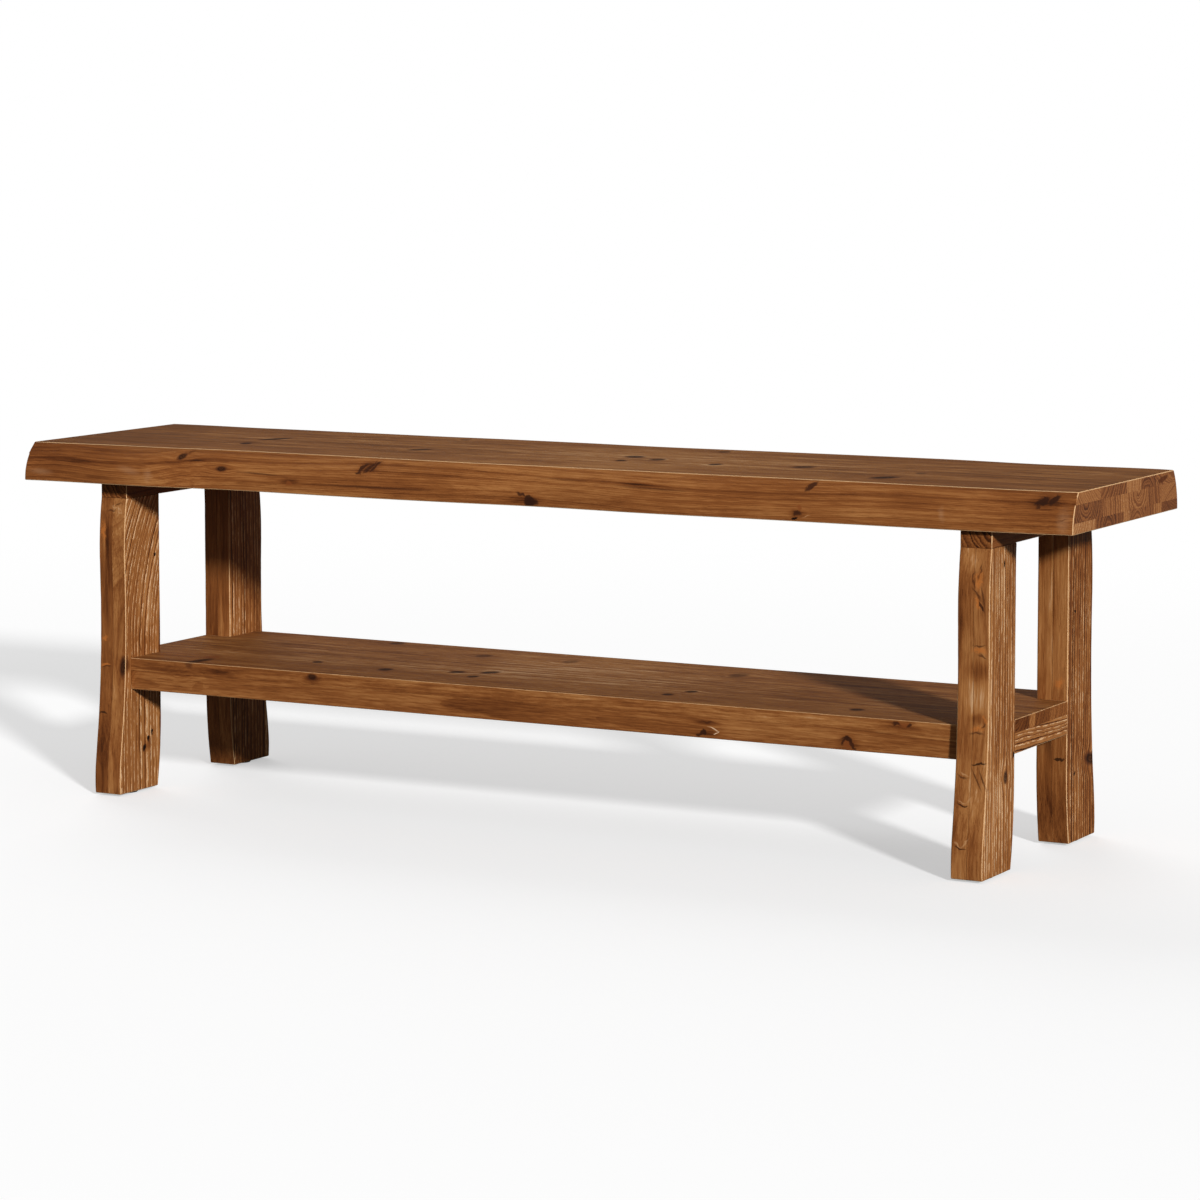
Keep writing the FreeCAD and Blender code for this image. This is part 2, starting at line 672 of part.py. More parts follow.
def glides():
    """Round glides, each nailed into its foot through a recess for the nail's head."""
    head_room = "(Sizes.nail_head + Sizes.glue_gap)"
    shank_room = "(Sizes.nail_shank + Sizes.glue_gap)"
    recess = "(Sizes.nail_head_height + Sizes.nail_sink)"
    outline = (
        (head_room, "0"),
        ("Sizes.glide_radius - Sizes.glide_bevel", "0"),
        ("Sizes.glide_radius", "Sizes.glide_bevel"),
        ("Sizes.glide_radius", "Sizes.glide_height"),
        (shank_room, "Sizes.glide_height"),
        (shank_room, recess),
        (head_room, recess),
    )
    for row, y_side in FRONT_AND_BACK:
        for end, x_side in LEFT_AND_RIGHT:
            name = f"{row}_{end}_glide"
            body = new_body(name)
            turned(body, name + "_turned", outline, ("0", "0", "0"))
            place = (f"{x_side} * {LEG_MIDDLE_X}", f"{y_side} * {FOOT_MIDDLE_Y}", "0")
            keep(bind(body, at=place), name)

    nail_tip = f"({NAIL_TOP} - Sizes.nail_sink)"
    nail = (
        ("0", "0"),
        ("Sizes.nail_head", "0"),
        ("Sizes.nail_head", "Sizes.nail_head_height"),
        ("Sizes.nail_shank", "Sizes.nail_head_height"),
        ("Sizes.nail_shank", f"{nail_tip} - Sizes.nail_point"),
        ("0", nail_tip),
    )
    body = new_body("glide_nails")
    place = (FOOT_MIDDLE_Y, "Sizes.nail_sink", LEG_MIDDLE_X)
    four_corners(body, [turned(body, "nail", nail, place)])
    keep(body, "glide_nails")


# The dowels.

def dowels():
    """Chamfered dowels: upright between legs and upper rails, level into the lower rails."""
    length = "(Sizes.dowel_in_leg + Sizes.dowel_in_rail)"
    body = new_body("leg_top_dowels")
    shank = "Sizes.dowel_radius"
    tip = "(Sizes.dowel_radius - Sizes.dowel_chamfer)"
    upright = (
        ("0", "0"),
        (tip, "0"),
        (shank, "Sizes.dowel_chamfer"),
        (shank, f"{length} - Sizes.dowel_chamfer"),
        (tip, length),
        ("0", length),
    )
    low = f"{LEG_TOP} - Sizes.dowel_in_leg"
    pair = []
    for board in ("outer", "inner"):
        place = (top_dowel_y(board), low, board_middle_x(board))
        pair.append(turned(body, f"{board}_top_dowel", upright, place))
    four_corners(body, pair)
    keep(body, "leg_top_dowels")

    body = new_body("lower_rail_dowels")
    level = tuple((along, across) for across, along in upright)
    pair = []
    for board in ("outer", "inner"):
        place = (f"{LEG_INNER_Y} - Sizes.dowel_in_rail", LOWER_DOWEL_Z, board_middle_x(board))
        pair.append(turned(body, f"{board}_rail_dowel", level, place, "H_Axis"))
    four_corners(body, pair)
    keep(body, "lower_rail_dowels")


# The bolts that hold the seat and the shelf to their rails.

HEXAGON_SIDES = 6


def draw_hexagon(sketch, flats):
    """A hexagon round the sketch's origin, with its sides tangent to a guide circle."""
    radius = f"({flats}) / 2"
    corner_radius = size(f"{radius} / cos(30 deg)")
    corners = []
    for number in range(HEXAGON_SIDES):
        turn = FreeCAD.Rotation(FreeCAD.Vector(0, 0, 1), number * 360 / HEXAGON_SIDES)
        corners.append(turn.multVec(FreeCAD.Vector(corner_radius, 0, 0)))
    for number in range(HEXAGON_SIDES):
        following = (number + 1) % HEXAGON_SIDES
        sketch.addGeometry(Part.LineSegment(corners[number], corners[following]))
    circle = Part.Circle(FreeCAD.Vector(), FreeCAD.Vector(0, 0, 1), size(radius))
    guide = sketch.addGeometry(circle, True)
    middle = (guide, PointOf.CENTRE, SketchAxis.ACROSS, PointOf.START)
    sketch.addConstraint(Sketcher.Constraint("Coincident", *middle))
    for number in range(HEXAGON_SIDES):
        following = (number + 1) % HEXAGON_SIDES
        ends = (number, PointOf.END, following, PointOf.START)
        sketch.addConstraint(Sketcher.Constraint("Coincident", *ends))
        sketch.addConstraint(Sketcher.Constraint("Tangent", number, guide))
    for number in range(1, HEXAGON_SIDES):
        sketch.addConstraint(Sketcher.Constraint("Equal", 0, number))
    first_corner = (0, PointOf.START, SketchAxis.ACROSS)
    sketch.addConstraint(Sketcher.Constraint("PointOnObject", *first_corner))
    rim = sketch.addConstraint(Sketcher.Constraint("Radius", guide, size(radius)))
    sketch.renameConstraint(rim, "flats")
    sketch.setExpression("Constraints.flats", radius)


def bolt_set(kind, rail_bottom, spacing, bolt_length, insert_base, insert_length):
    """Four bolts with their washers and the threaded inserts that they turn into."""
    y = f"{spacing} / 2"
    seat_level = f"({rail_bottom} + Sizes.counterbore_depth)"
    washer_low = f"({seat_level} - Sizes.washer_height)"
    head_low = f"({washer_low} - Sizes.bolt_head_height)"
    head_top = "Sizes.bolt_head_height"
    tip = f"({head_top} + {bolt_length})"

    body = new_body(f"{kind}_bolts")
    outline = (
        ("0", "0"),
        ("Sizes.bolt_head", "0"),
        ("Sizes.bolt_head", head_top),
        ("Sizes.bolt_radius", head_top),
        ("Sizes.bolt_radius", tip),
        ("0", tip),
    )
    bolt = turned(body, f"{kind}_bolt", outline, (y, head_low, LEG_MIDDLE_X))
    socket_plan = new_sketch(body, f"{kind}_socket_plan", "XY_Plane", (LEG_MIDDLE_X, y, head_low))
    draw_hexagon(socket_plan, "Sizes.socket_flats")
    socket = pocket(body, f"{kind}_socket", socket_plan, "Sizes.socket_depth")
    four_corners(body, [bolt, socket])
    keep(body, f"{kind}_bolts")

    bore = "(Sizes.bolt_radius + Sizes.thread_play)"
    rings = (
        (f"{kind}_bolt_washers", "Sizes.washer_radius", "Sizes.washer_height", washer_low),
        (f"{kind}_inserts", "Sizes.insert_radius", insert_length, insert_base),
    )
    for name, radius, height, low in rings:
        body = new_body(name)
        outline = ((bore, "0"), (radius, "0"), (radius, height), (bore, height))
        four_corners(body, [turned(body, f"{name}_ring", outline, (y, low, LEG_MIDDLE_X))])
        keep(body, name)


seat()
legs()
rails()
shelf()
glides()
dowels()
bolt_set(
    "seat",
    LEG_TOP,
    "Sizes.seat_bolt_spacing",
    "Sizes.seat_bolt_length",
    SEAT_UNDERSIDE,
    "Sizes.seat_insert_length",
)
bolt_set(
    "shelf",
    LOWER_RAIL_BOTTOM,
    "Sizes.shelf_bolt_spacing",
    "Sizes.shelf_bolt_length",
    SHELF_UNDERSIDE,
    "Sizes.shelf_insert_length",
)
doc.recompute()

for thing in doc.Objects:
    if "Invalid" in thing.State or "Error" in thing.State:
        raise ValueError(f"{thing.Label} failed: {thing.State}")
for node in NODES:
    if node.Shape.isNull() or not node.Shape.isValid():
        raise ValueError(f"{node.Label} has no valid shape")

os.makedirs("parts", exist_ok=True)
for node in NODES:
    node.Shape.exportStep(f"parts/{node.Label}.step")
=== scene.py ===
"""Visual model of a rustic shoe bench: stained softwood boards, live edges and end frames.

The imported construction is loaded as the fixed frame. Every board that shows is rebuilt as a copy of
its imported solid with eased, worn arrises, and gets a procedural finish of its own.
"""

import logging
import math
from dataclasses import dataclass, field
from enum import Enum

import bmesh
import bpy
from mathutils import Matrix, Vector, noise
from mathutils.bvhtree import BVHTree
from mathutils.kdtree import KDTree


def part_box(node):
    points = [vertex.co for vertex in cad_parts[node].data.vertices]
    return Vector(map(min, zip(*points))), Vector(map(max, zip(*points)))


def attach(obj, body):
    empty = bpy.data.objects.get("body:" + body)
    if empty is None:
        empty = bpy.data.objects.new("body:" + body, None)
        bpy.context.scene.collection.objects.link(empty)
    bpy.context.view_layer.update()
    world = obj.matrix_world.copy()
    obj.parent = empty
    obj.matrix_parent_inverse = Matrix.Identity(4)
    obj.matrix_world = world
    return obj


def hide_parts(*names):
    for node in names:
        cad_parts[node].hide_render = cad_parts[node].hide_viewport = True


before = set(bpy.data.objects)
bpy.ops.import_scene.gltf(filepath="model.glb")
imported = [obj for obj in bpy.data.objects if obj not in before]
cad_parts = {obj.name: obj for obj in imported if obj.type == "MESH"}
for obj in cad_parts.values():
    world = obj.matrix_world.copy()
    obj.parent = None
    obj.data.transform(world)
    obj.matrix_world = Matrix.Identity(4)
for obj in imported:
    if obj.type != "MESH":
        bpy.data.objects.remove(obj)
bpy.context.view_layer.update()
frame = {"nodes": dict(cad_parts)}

LOG = logging.getLogger("shoe_bench")
MM = 0.001
BODY = "root"

Colour = tuple[float, float, float]
Triple = tuple[float, float, float]
Socket = bpy.types.NodeSocket
Outputs = bpy.types.NodeOutputs
Feed = Socket | float | tuple
FLOAT, VECTOR, COLOUR = "NodeSocketFloat", "NodeSocketVector", "NodeSocketColor"
Edges = list[bmesh.types.BMEdge]


def opaque(colour: Colour) -> tuple[float, float, float, float]:
    """Returns a colour with full alpha."""
    return (*colour, 1.0)


class Run(Enum):
    """Which way a board's grain runs: the turn that brings it along X, and its way on the bench."""

    ALONG = (0.0, 0.0, 0.0), (1.0, 0.0, 0.0)
    UPRIGHT = (0.0, math.pi / 2, 0.0), (0.0, 0.0, 1.0)
    ACROSS = (0.0, 0.0, -math.pi / 2), (0.0, 1.0, 0.0)

    def __init__(self, turn: Triple, way: Triple) -> None:
        """Keeps the turn and the way."""
        self.turn = turn
        self.way = way


class Face(Enum):
    """The side of the bench that a mark lies on."""

    FRONT = "front"
    TOP = "top"
    RIGHT = "right"

    def turn(self, slant: float) -> Triple:
        """Turns a mark's own axes on to this side.

        Args:
            slant: The angle of the mark's long axis on the side, in degrees.

        Returns:
            Euler angles in radians.
        """
        angle = math.radians(slant)
        if self is Face.TOP:
            return (0.0, 0.0, angle)
        return (math.pi / 2, -angle, math.pi / 2 if self is Face.RIGHT else 0.0)

    def mark(self, kind: "Kind", x: float, y: float, z: float, long: float, wide: float,
             *rest: float) -> "Mark":
        """Makes a mark here: kind, middle, half length and half width, then slant, bend and depth."""
        return Mark(kind, self, (x, y, z), (long, wide), *rest)


# Node wiring


class Wiring:
    """Adds nodes to one node tree and links them."""

    def __init__(self, tree: bpy.types.NodeTree) -> None:
        """Keeps the tree that the nodes go into."""
        self.tree = tree

    @classmethod
    def material(cls, name: str) -> tuple[bpy.types.Material, "Wiring", bpy.types.Node]:
        """Starts a material and returns it with its wiring and its shader."""
        material = bpy.data.materials.new(name)
        material.use_nodes = True
        w = cls(material.node_tree)
        return material, w, w.tree.nodes["Principled BSDF"]

    def feed(self, socket: Socket, feed: Feed) -> None:
        """Links a socket to another one, or sets its constant."""
        if isinstance(feed, Socket):
            self.tree.links.new(feed, socket)
        else:
            socket.default_value = feed

    def add(self, kind: str, feeds: dict[str | int, Feed] | None = None,
            **settings: object) -> bpy.types.Node:
        """Adds a shader node.

        Args:
            kind: The node's type.
            feeds: What goes into its sockets, by name or number.
            **settings: The node's own properties.

        Returns:
            The node.
        """
        node = self.tree.nodes.new("ShaderNode" + kind)
        for name, value in settings.items():
            setattr(node, name, value)
        for socket, feed in (feeds or {}).items():
            self.feed(node.inputs[socket], feed)
        return node

    def value(self, operation: str, *feeds: Feed) -> Socket:
        """Adds a Math node and returns its result."""
        return self.add("Math", dict(enumerate(feeds)), operation=operation).outputs[0]

    def times(self, one: Feed, other: Feed) -> Socket:
        """Multiplies two values and returns the product."""
        return self.value("MULTIPLY", one, other)

    def total(self, start: Feed, *parts: tuple[Feed, Feed]) -> Socket:
        """Adds products to a start value and returns the sum."""
        for value, weight in parts:
            start = self.value("MULTIPLY_ADD", value, weight, start)
        return start

    def vector(self, operation: str, *feeds: Feed) -> Socket:
        """Adds a Vector Math node and returns its vector, or its value where it gives one."""
        node = self.add("VectorMath", dict(enumerate(feeds)), operation=operation)
        return node.outputs["Value" if operation in ("DOT_PRODUCT", "LENGTH") else "Vector"]

    def scaled(self, vector: Feed, factor: Feed) -> Socket:
        """Scales a vector by a value and returns it."""
        return self.add("VectorMath", {0: vector, "Scale": factor}, operation="SCALE").outputs[0]

    def parts(self, vector: Feed) -> Outputs:
        """Splits a vector and returns its three parts."""
        return self.add("SeparateXYZ", {0: vector}).outputs

    def join(self, *parts: Feed) -> Socket:
        """Makes a vector of its parts, the rest nought, and returns it."""
        return self.add("CombineXYZ", dict(enumerate(parts))).outputs[0]

    def ease(self, value: Feed, start: Feed, end: Feed, low: float = 0.0, high: float = 1.0) -> Socket:
        """Maps a value smoothly from one range to another and returns the result."""
        feeds = {"Value": value, "From Min": start, "From Max": end, "To Min": low, "To Max": high}
        return self.add("MapRange", feeds, interpolation_type="SMOOTHSTEP").outputs["Result"]

    def noise(self, place: Feed, along: float, across: float, detail: float = 2.0,
              rough: float = 0.5) -> Socket:
        """Adds a noise with so many cells a metre along X and across it, and returns it."""
        scaled = self.vector("MULTIPLY", place, (along, across, across))
        feeds = {"Vector": scaled, "Scale": 1.0, "Detail": detail, "Roughness": rough}
        return self.add("TexNoise", feeds).outputs[0]

    def blend(self, share: Feed, under: Feed, over: Colour) -> Socket:
        """Lays a colour over another by a share and returns the mix."""
        return self.add("Mix", {0: share, 6: under, 7: opaque(over)}, data_type="RGBA").outputs[2]

    def bump(self, shader: bpy.types.Node, height: Socket, strength: float, depth: float) -> None:
        """Gives a shader relief from a height, with its depth in metres."""
        node = self.add("Bump", {"Strength": strength, "Distance": depth, "Height": height})
        self.feed(shader.inputs["Normal"], node.outputs[0])

    def read(self, attribute: str) -> Socket:
        """Reads a piece's own attribute and returns it."""
        return self.add("Attribute", attribute_name=attribute).outputs["Fac"]

    def effect(self, tree: bpy.types.NodeTree, **feeds: Feed) -> Outputs:
        """Places a shared effect and returns its outputs."""
        return self.add("Group", feeds, node_tree=tree).outputs


class Group(Wiring):
    """Adds nodes to one shared effect, between what enters it and what it gives."""

    SEED_STEP = (7.31, 3.17, 5.93)
    ACROSS = (0.0, 1.0, 1.0)
    MIDDLE, SPREAD = 0.5, 0.2
    # The lines in a ring: where each rises, where it falls, and its strength's range and least
    LINES = {
        "Line": ((0.35, 0.92), (1.0, 0.94), (0.8, 0.2)),
        "Ridge": ((0.34, 0.50), (0.78, 0.66), (0.4, 0.6)),
        "Groove": ((0.76, 0.84), (1.0, 0.94), (0.6, 0.4)),
        "Ring": ((0.1, 0.85), (1.0, 0.86), (0.6, 0.5)),
    }

    def __init__(self, name: str, vectors: str, floats: str, gives: dict[str, str]) -> None:
        """Starts a node group.

        Args:
            name: The group's name.
            vectors: The names of the vectors that enter it, with spaces between them.
            floats: The names of the values that enter it.
            gives: The socket type of its outputs, by their names.
        """
        super().__init__(bpy.data.node_groups.new(name, "ShaderNodeTree"))
        for way, sockets in (("INPUT", {vectors: VECTOR, floats: FLOAT}), ("OUTPUT", gives)):
            for labels, kind in sockets.items():
                for label in labels.split():
                    self.tree.interface.new_socket(name=label, in_out=way, socket_type=kind)
        self.given = self.tree.nodes.new("NodeGroupInput").outputs
        self.out = self.tree.nodes.new("NodeGroupOutput").inputs

    def __getitem__(self, name: str) -> Socket:
        """Returns what enters the group under a name."""
        return self.given[name]

    def give(self, name: str, feed: Feed) -> None:
        """Lets the group give a value under a name."""
        self.feed(self.out[name], feed)

    def seeded(self) -> Socket:
        """Moves the noise's place by a board's seed, so that no two boards match."""
        return self.vector("ADD", self["Place"], self.scaled(self.SEED_STEP, self["Seed"]))

    def radius(self) -> Socket:
        """The distance from the pith, which runs along X."""
        apart = self.vector("SUBTRACT", self["Place"], self["Heart"])
        return self.vector("LENGTH", self.vector("MULTIPLY", apart, self.ACROSS))

    def local(self, place: Feed) -> Socket:
        """Gives a place in a mark's own frame, where its rim is one unit away."""
        feeds = {"Vector": place, "Location": self["Centre"], "Rotation": self["Turn"]}
        feeds["Scale"] = self["Reach"]
        return self.add("Mapping", feeds, vector_type="TEXTURE").outputs[0]

    def ripple(self, place: Feed, *cells: float) -> Socket:
        """Adds a noise round nought and returns it."""
        return self.value("SUBTRACT", self.noise(place, *cells), self.MIDDLE)

    def spread(self, place: Feed, *cells: float) -> Socket:
        """Adds a noise spread evenly from minus one to one and returns it."""
        low, high = self.MIDDLE - self.SPREAD, self.MIDDLE + self.SPREAD
        return self.ease(self.noise(place, *cells), low, high, -1.0, 1.0)

    def line(self, name: str, share: Socket, strength: Socket) -> Socket:
        """A soft line in each ring, from where it rises to where it falls."""
        rise, fall, strengths = self.LINES[name]
        line = self.times(self.ease(share, *rise), self.ease(share, *fall))
        return self.times(line, self.value("MULTIPLY_ADD", strength, *strengths))

    def rings(self, radius: Socket, pace: float, detail: float, uneven: Feed) -> tuple[Socket, ...]:
        """Counts growth rings of uneven width.

        Args:
            radius: The distance from the pith.
            pace: How fast the width changes from ring to ring.
            detail: The detail of that change.
            uneven: How far it moves the rings.

        Returns:
            The count of rings, how far on the place is in its own ring, and the ring's strength.
        """
        count = self.value("DIVIDE", radius, self["Ring"])
        feeds = {"W": self.value("MULTIPLY_ADD", count, pace, self["Seed"]), "Scale": 1.0, "Detail": detail}
        change = self.add("TexNoise", feeds, noise_dimensions="1D").outputs[0]
        count = self.total(count, (change, uneven))
        number = self.value("ADD", self.value("FLOOR", count), self["Seed"])
        strength = self.add("TexWhiteNoise", {"W": number}, noise_dimensions="1D").outputs["Value"]
        return count, self.value("FRACT", count), strength


class Effects:
    """The shared effects of the wood finishes, each built once as a node group.

    Noises are told by their cells a metre along X and across it, detail and roughness.
    """

    # How the rings sway: the noise and the share of the sway
    SWAYS = (((1.2, 9.0, 1.0), 2.0), ((3.6, 26.0, 1.0), 0.30))
    WOBBLE = (55.0, 130.0, 1.0)
    PACE = (0.45, 0.0)
    THIN_LINES, THIN_RISE, THIN_SHARE = 3.3, (0.35, 0.95), 0.36
    FIBRES = {
        "Streak": (6.0, 120.0, 4.0, 0.75),
        "Band": (1.8, 38.0, 2.0, 0.5),
        "Fine": (16.0, 330.0, 3.0, 0.8),
        "Cloud": (9.0, 22.0, 3.0, 0.55),
        "Dash": (70.0, 260.0, 3.0, 0.75),
    }
    PORES, PORE_RISE = (40.0, 1300.0, 1.0), (0.60, 0.72)
    END_RIPPLE, END_RIPPLE_REACH = (0.0, 90.0), 0.006
    END_PACE, END_UNEVEN = (0.5, 1.0), 1.5
    RAYS = (0.0, 500.0, 3.0, 0.7)
    WAVER_CELLS = 110.0
    FRAY, SIDE_FRAY = (380.0, 380.0, 3.0, 0.65), 3.0
    # The parts of a knot: where each ends and where it is full, in the knot's own half sizes
    CORE, RIM, RIM_INNER, LIFT, PARTING = (1.15, 0.75), (1.6, 1.05), (0.65, 0.95), (4.2, 0.6), (5.0, 0.3)
    KNOT_FRAY, KNOT_ROUGH = (300.0, 300.0), 0.5
    CORE_RINGS, CORE_RANGE = 13.0, (0.10, 0.90)
    SIDEWAYS = (0.0, 1.0, 0.0)
    PATCHES, PATCHES_SHARE = (60.0, 60.0, 4.0, 0.7), 0.7
    RUBBED_FROM, RUBBED_RISE, WORN_RISE = -0.50, (0.15, 0.75), (0.05, 0.6)

    def __init__(self) -> None:
        """Builds every effect."""
        self.figure = self._figure()
        self.fibre = self._fibre()
        self.end_rings = self._end_rings()
        self.mark = self._mark()
        self.knot = self._knot()
        self.edge_wear = self._edge_wear()
        self.stain = self._stain()

    def _figure(self) -> bpy.types.NodeTree:
        """Growth rings round a pith that runs along X: dark late wood, pale ridges and grooves."""
        values = "Ring Sway Wobble Uneven Push Seed"
        w = Group("ring_figure", "Place Heart", values, {"Line Ridge Groove": FLOAT})
        place = w.seeded()
        radius = w.value("ADD", w.radius(), w["Push"])
        for cells, share in self.SWAYS:
            radius = w.total(radius, (w.ripple(place, *cells), w.times(w["Sway"], share)))
        radius = w.total(radius, (w.ripple(place, *self.WOBBLE), w["Wobble"]))
        count, share, strength = w.rings(radius, *self.PACE, w["Uneven"])
        thin = w.ease(w.value("FRACT", w.times(count, self.THIN_LINES)), *self.THIN_RISE)
        w.give("Line", w.total(w.line("Line", share, strength), (thin, self.THIN_SHARE)))
        for name in ("Ridge", "Groove"):
            w.give(name, w.line(name, share, strength))
        return w.tree

    def _fibre(self) -> bpy.types.NodeTree:
        """Streaks, bands, fine fibres and clouds along X, each from minus one to one, and pores."""
        w = Group("fibre", "Place", "Seed", {"Streak Band Fine Pore Cloud Dash": FLOAT})
        place = w.seeded()
        for name, cells in self.FIBRES.items():
            w.give(name, w.spread(place, *cells))
        w.give("Pore", w.ease(w.noise(place, *self.PORES), *self.PORE_RISE))
        return w.tree

    def _end_rings(self) -> bpy.types.NodeTree:
        """Rings and rays as a sawn end shows them, round a pith along X."""
        w = Group("end_rings", "Place Heart", "Ring Seed", {"Ring Ray": FLOAT})
        place = w.seeded()
        ripple = w.times(w.ripple(place, *self.END_RIPPLE), self.END_RIPPLE_REACH)
        _, share, strength = w.rings(w.value("ADD", w.radius(), ripple), *self.END_PACE, self.END_UNEVEN)
        w.give("Ring", w.line("Ring", share, strength))
        w.give("Ray", w.spread(place, *self.RAYS))
        return w.tree

    def _mark(self) -> bpy.types.NodeTree:
        """The mask of one mark: an ellipse that may bend and fray."""
        w = Group("mark", "Place Centre Turn Reach", "Bend Fray Softness Waver", {"Mask": FLOAT})
        feeds = {"Vector": w["Place"], "Scale": self.WAVER_CELLS, "Detail": 1.0}
        cells = w.add("TexNoise", feeds).outputs["Color"]
        waver = w.scaled(w.vector("SUBTRACT", cells, (w.MIDDLE,) * 3), w["Waver"])
        place = w.vector("ADD", w["Place"], waver)
        along, side, deep = w.parts(w.local(place))
        rough = w.ripple(place, *self.FRAY)
        side = w.total(side, (w.times(along, along), w.times(w["Bend"], -1.0)),
                       (rough, w.times(w["Fray"], self.SIDE_FRAY)))
        along = w.total(along, (rough, w["Fray"]))
        far = w.vector("LENGTH", w.join(along, side, deep))
        w.give("Mask", w.ease(far, 1.0, w.value("SUBTRACT", 1.0, w["Softness"])))
        return w.tree

    def _knot(self) -> bpy.types.NodeTree:
        """One knot: its core with rings, its rim, how far it lifts the rings, and how it parts the grain."""
        w = Group("knot", "Place Centre Turn Reach", "Part", {"Core Rim Push": FLOAT, "Shift": VECTOR})
        local = w.local(w["Place"])
        plain = w.vector("LENGTH", local)
        far = w.total(plain, (w.ripple(w["Place"], *self.KNOT_FRAY), self.KNOT_ROUGH))
        fade = w.times(w.ease(plain, *self.PARTING), w["Part"])
        side = w.scaled(w.vector("MULTIPLY", local, self.SIDEWAYS), fade)
        feeds = {"Vector": side, "Rotation": w["Turn"], "Scale": w["Reach"]}
        w.give("Shift", w.add("Mapping", feeds, vector_type="VECTOR").outputs[0])
        rings = w.value("MULTIPLY_ADD", w.value("SINE", w.times(far, self.CORE_RINGS)), *self.CORE_RANGE)
        w.give("Core", w.times(w.ease(far, *self.CORE), rings))
        w.give("Rim", w.times(w.ease(far, *self.RIM), w.ease(far, *self.RIM_INNER)))
        w.give("Push", w.ease(far, *self.LIFT))
        return w.tree

    def _edge_wear(self) -> bpy.types.NodeTree:
        """Stain rubbed off the arrises, in patches, read from the piece's own attribute."""
        w = Group("edge_wear", "Place", "Amount", {"Mask": FLOAT})
        worn = w.read(Timber.WEAR)
        patchy = w.noise(w["Place"], *self.PATCHES)
        rubbed = w.total(self.RUBBED_FROM, (w.times(worn, w["Amount"]), 1.0), (patchy, self.PATCHES_SHARE))
        w.give("Mask", w.times(w.ease(worn, *self.WORN_RISE), w.ease(rubbed, *self.RUBBED_RISE)))
        return w.tree

    def _stain(self) -> bpy.types.NodeTree:
        """The stain's colour from how light or dark the wood took it, from nought to one."""
        w = Group("stain", "", "Tone", {"Colour": COLOUR})
        ramp = w.add("ValToRGB", {0: w["Tone"]})
        stops = ramp.color_ramp.elements
        for place, colour in WoodFinish.STAIN:
            stop = stops[0] if place == 0.0 else stops[-1] if place == 1.0 else stops.new(place)
            stop.color = opaque(colour)
        w.give("Colour", ramp.outputs[0])
        return w.tree


# Marks on the boards


@dataclass(frozen=True)
class Blemish:
    """How a kind of mark looks: a colour laid on, its strength, the softness of its rim and its fray."""

    colour: Colour
    strength: float
    softness: float
    fray: float


@dataclass(frozen=True)
class Wash:
    """A soft place where the wood took more stain or less, or where light or shade is painted: the tones it
    adds, with a soft rim.
    """

    tones: float
    softness: float = 1.0
    fray: float = 0.1


class Kind(Enum):
    """The kinds of mark on the boards."""

    HOLE = Blemish((0.010, 0.004, 0.003), 1.0, 0.4, 0.25)
    STROKE = Blemish((0.045, 0.014, 0.006), 0.92, 0.5, 0.30)
    PATCH = Blemish((0.030, 0.010, 0.005), 0.93, 0.40, 0.35)
    LINE = Blemish((0.055, 0.016, 0.006), 0.75, 0.8, 0.20)
    JAG = Blemish((0.025, 0.009, 0.004), 0.90, 0.5, 0.60)
    GLOW = Blemish((0.480, 0.150, 0.030), 0.70, 0.8, 0.80)
    # Painted highlight: a pale sheen laid on the live front edge where the light glances off it
    PALE = Blemish((0.430, 0.240, 0.125), 0.26, 1.0, 0.15)
    SCUFF = Blemish((0.500, 0.270, 0.120), 0.60, 0.8, 0.50)
    SCRATCH = Blemish((0.780, 0.540, 0.330), 0.90, 0.6, 0.10)
    RUST = Blemish((0.200, 0.056, 0.014), 0.80, 0.6, 0.45)
    SHADE = Wash(-0.26)
    # Darker tone of the boards, and in places painted shade
    DUSK = Wash(-0.14)
    GOLD = Wash(0.13)
    # Painted light: tops made lighter in the middle, for a pool of soft light and its sheen
    BLOOM = Wash(0.10)


@dataclass(frozen=True)
class Mark:
    """A mark on a board: its kind, middle and side, slant, half sizes and bend, in mm and degrees."""

    kind: Kind
    face: Face
    at: Triple
    reach: tuple[float, float]
    slant: float = 0.0
    bend: float = 0.0
    depth: float = 9.0

    WAVER, LONG = 8.0, 20.0

    @property
    def waver(self) -> float:
        """How far the mark's outline wavers, in metres. A long mark keeps to the grain."""
        return self.WAVER * MM if self.reach[0] < self.LONG else 0.0

    def near(self, box: tuple[Vector, Vector]) -> bool:
        """Tells whether the mark reaches a piece's box."""
        far = max(self.reach) * MM
        return all(low - far <= self.at[i] * MM <= high + far for i, (low, high) in enumerate(zip(*box)))

    def feeds(self) -> dict[str, Triple]:
        """The place, turn and half sizes that the shared effects take."""
        return {"Centre": tuple(c * MM for c in self.at), "Turn": self.face.turn(self.slant),
                "Reach": (self.reach[0] * MM, self.reach[1] * MM, self.depth * MM)}


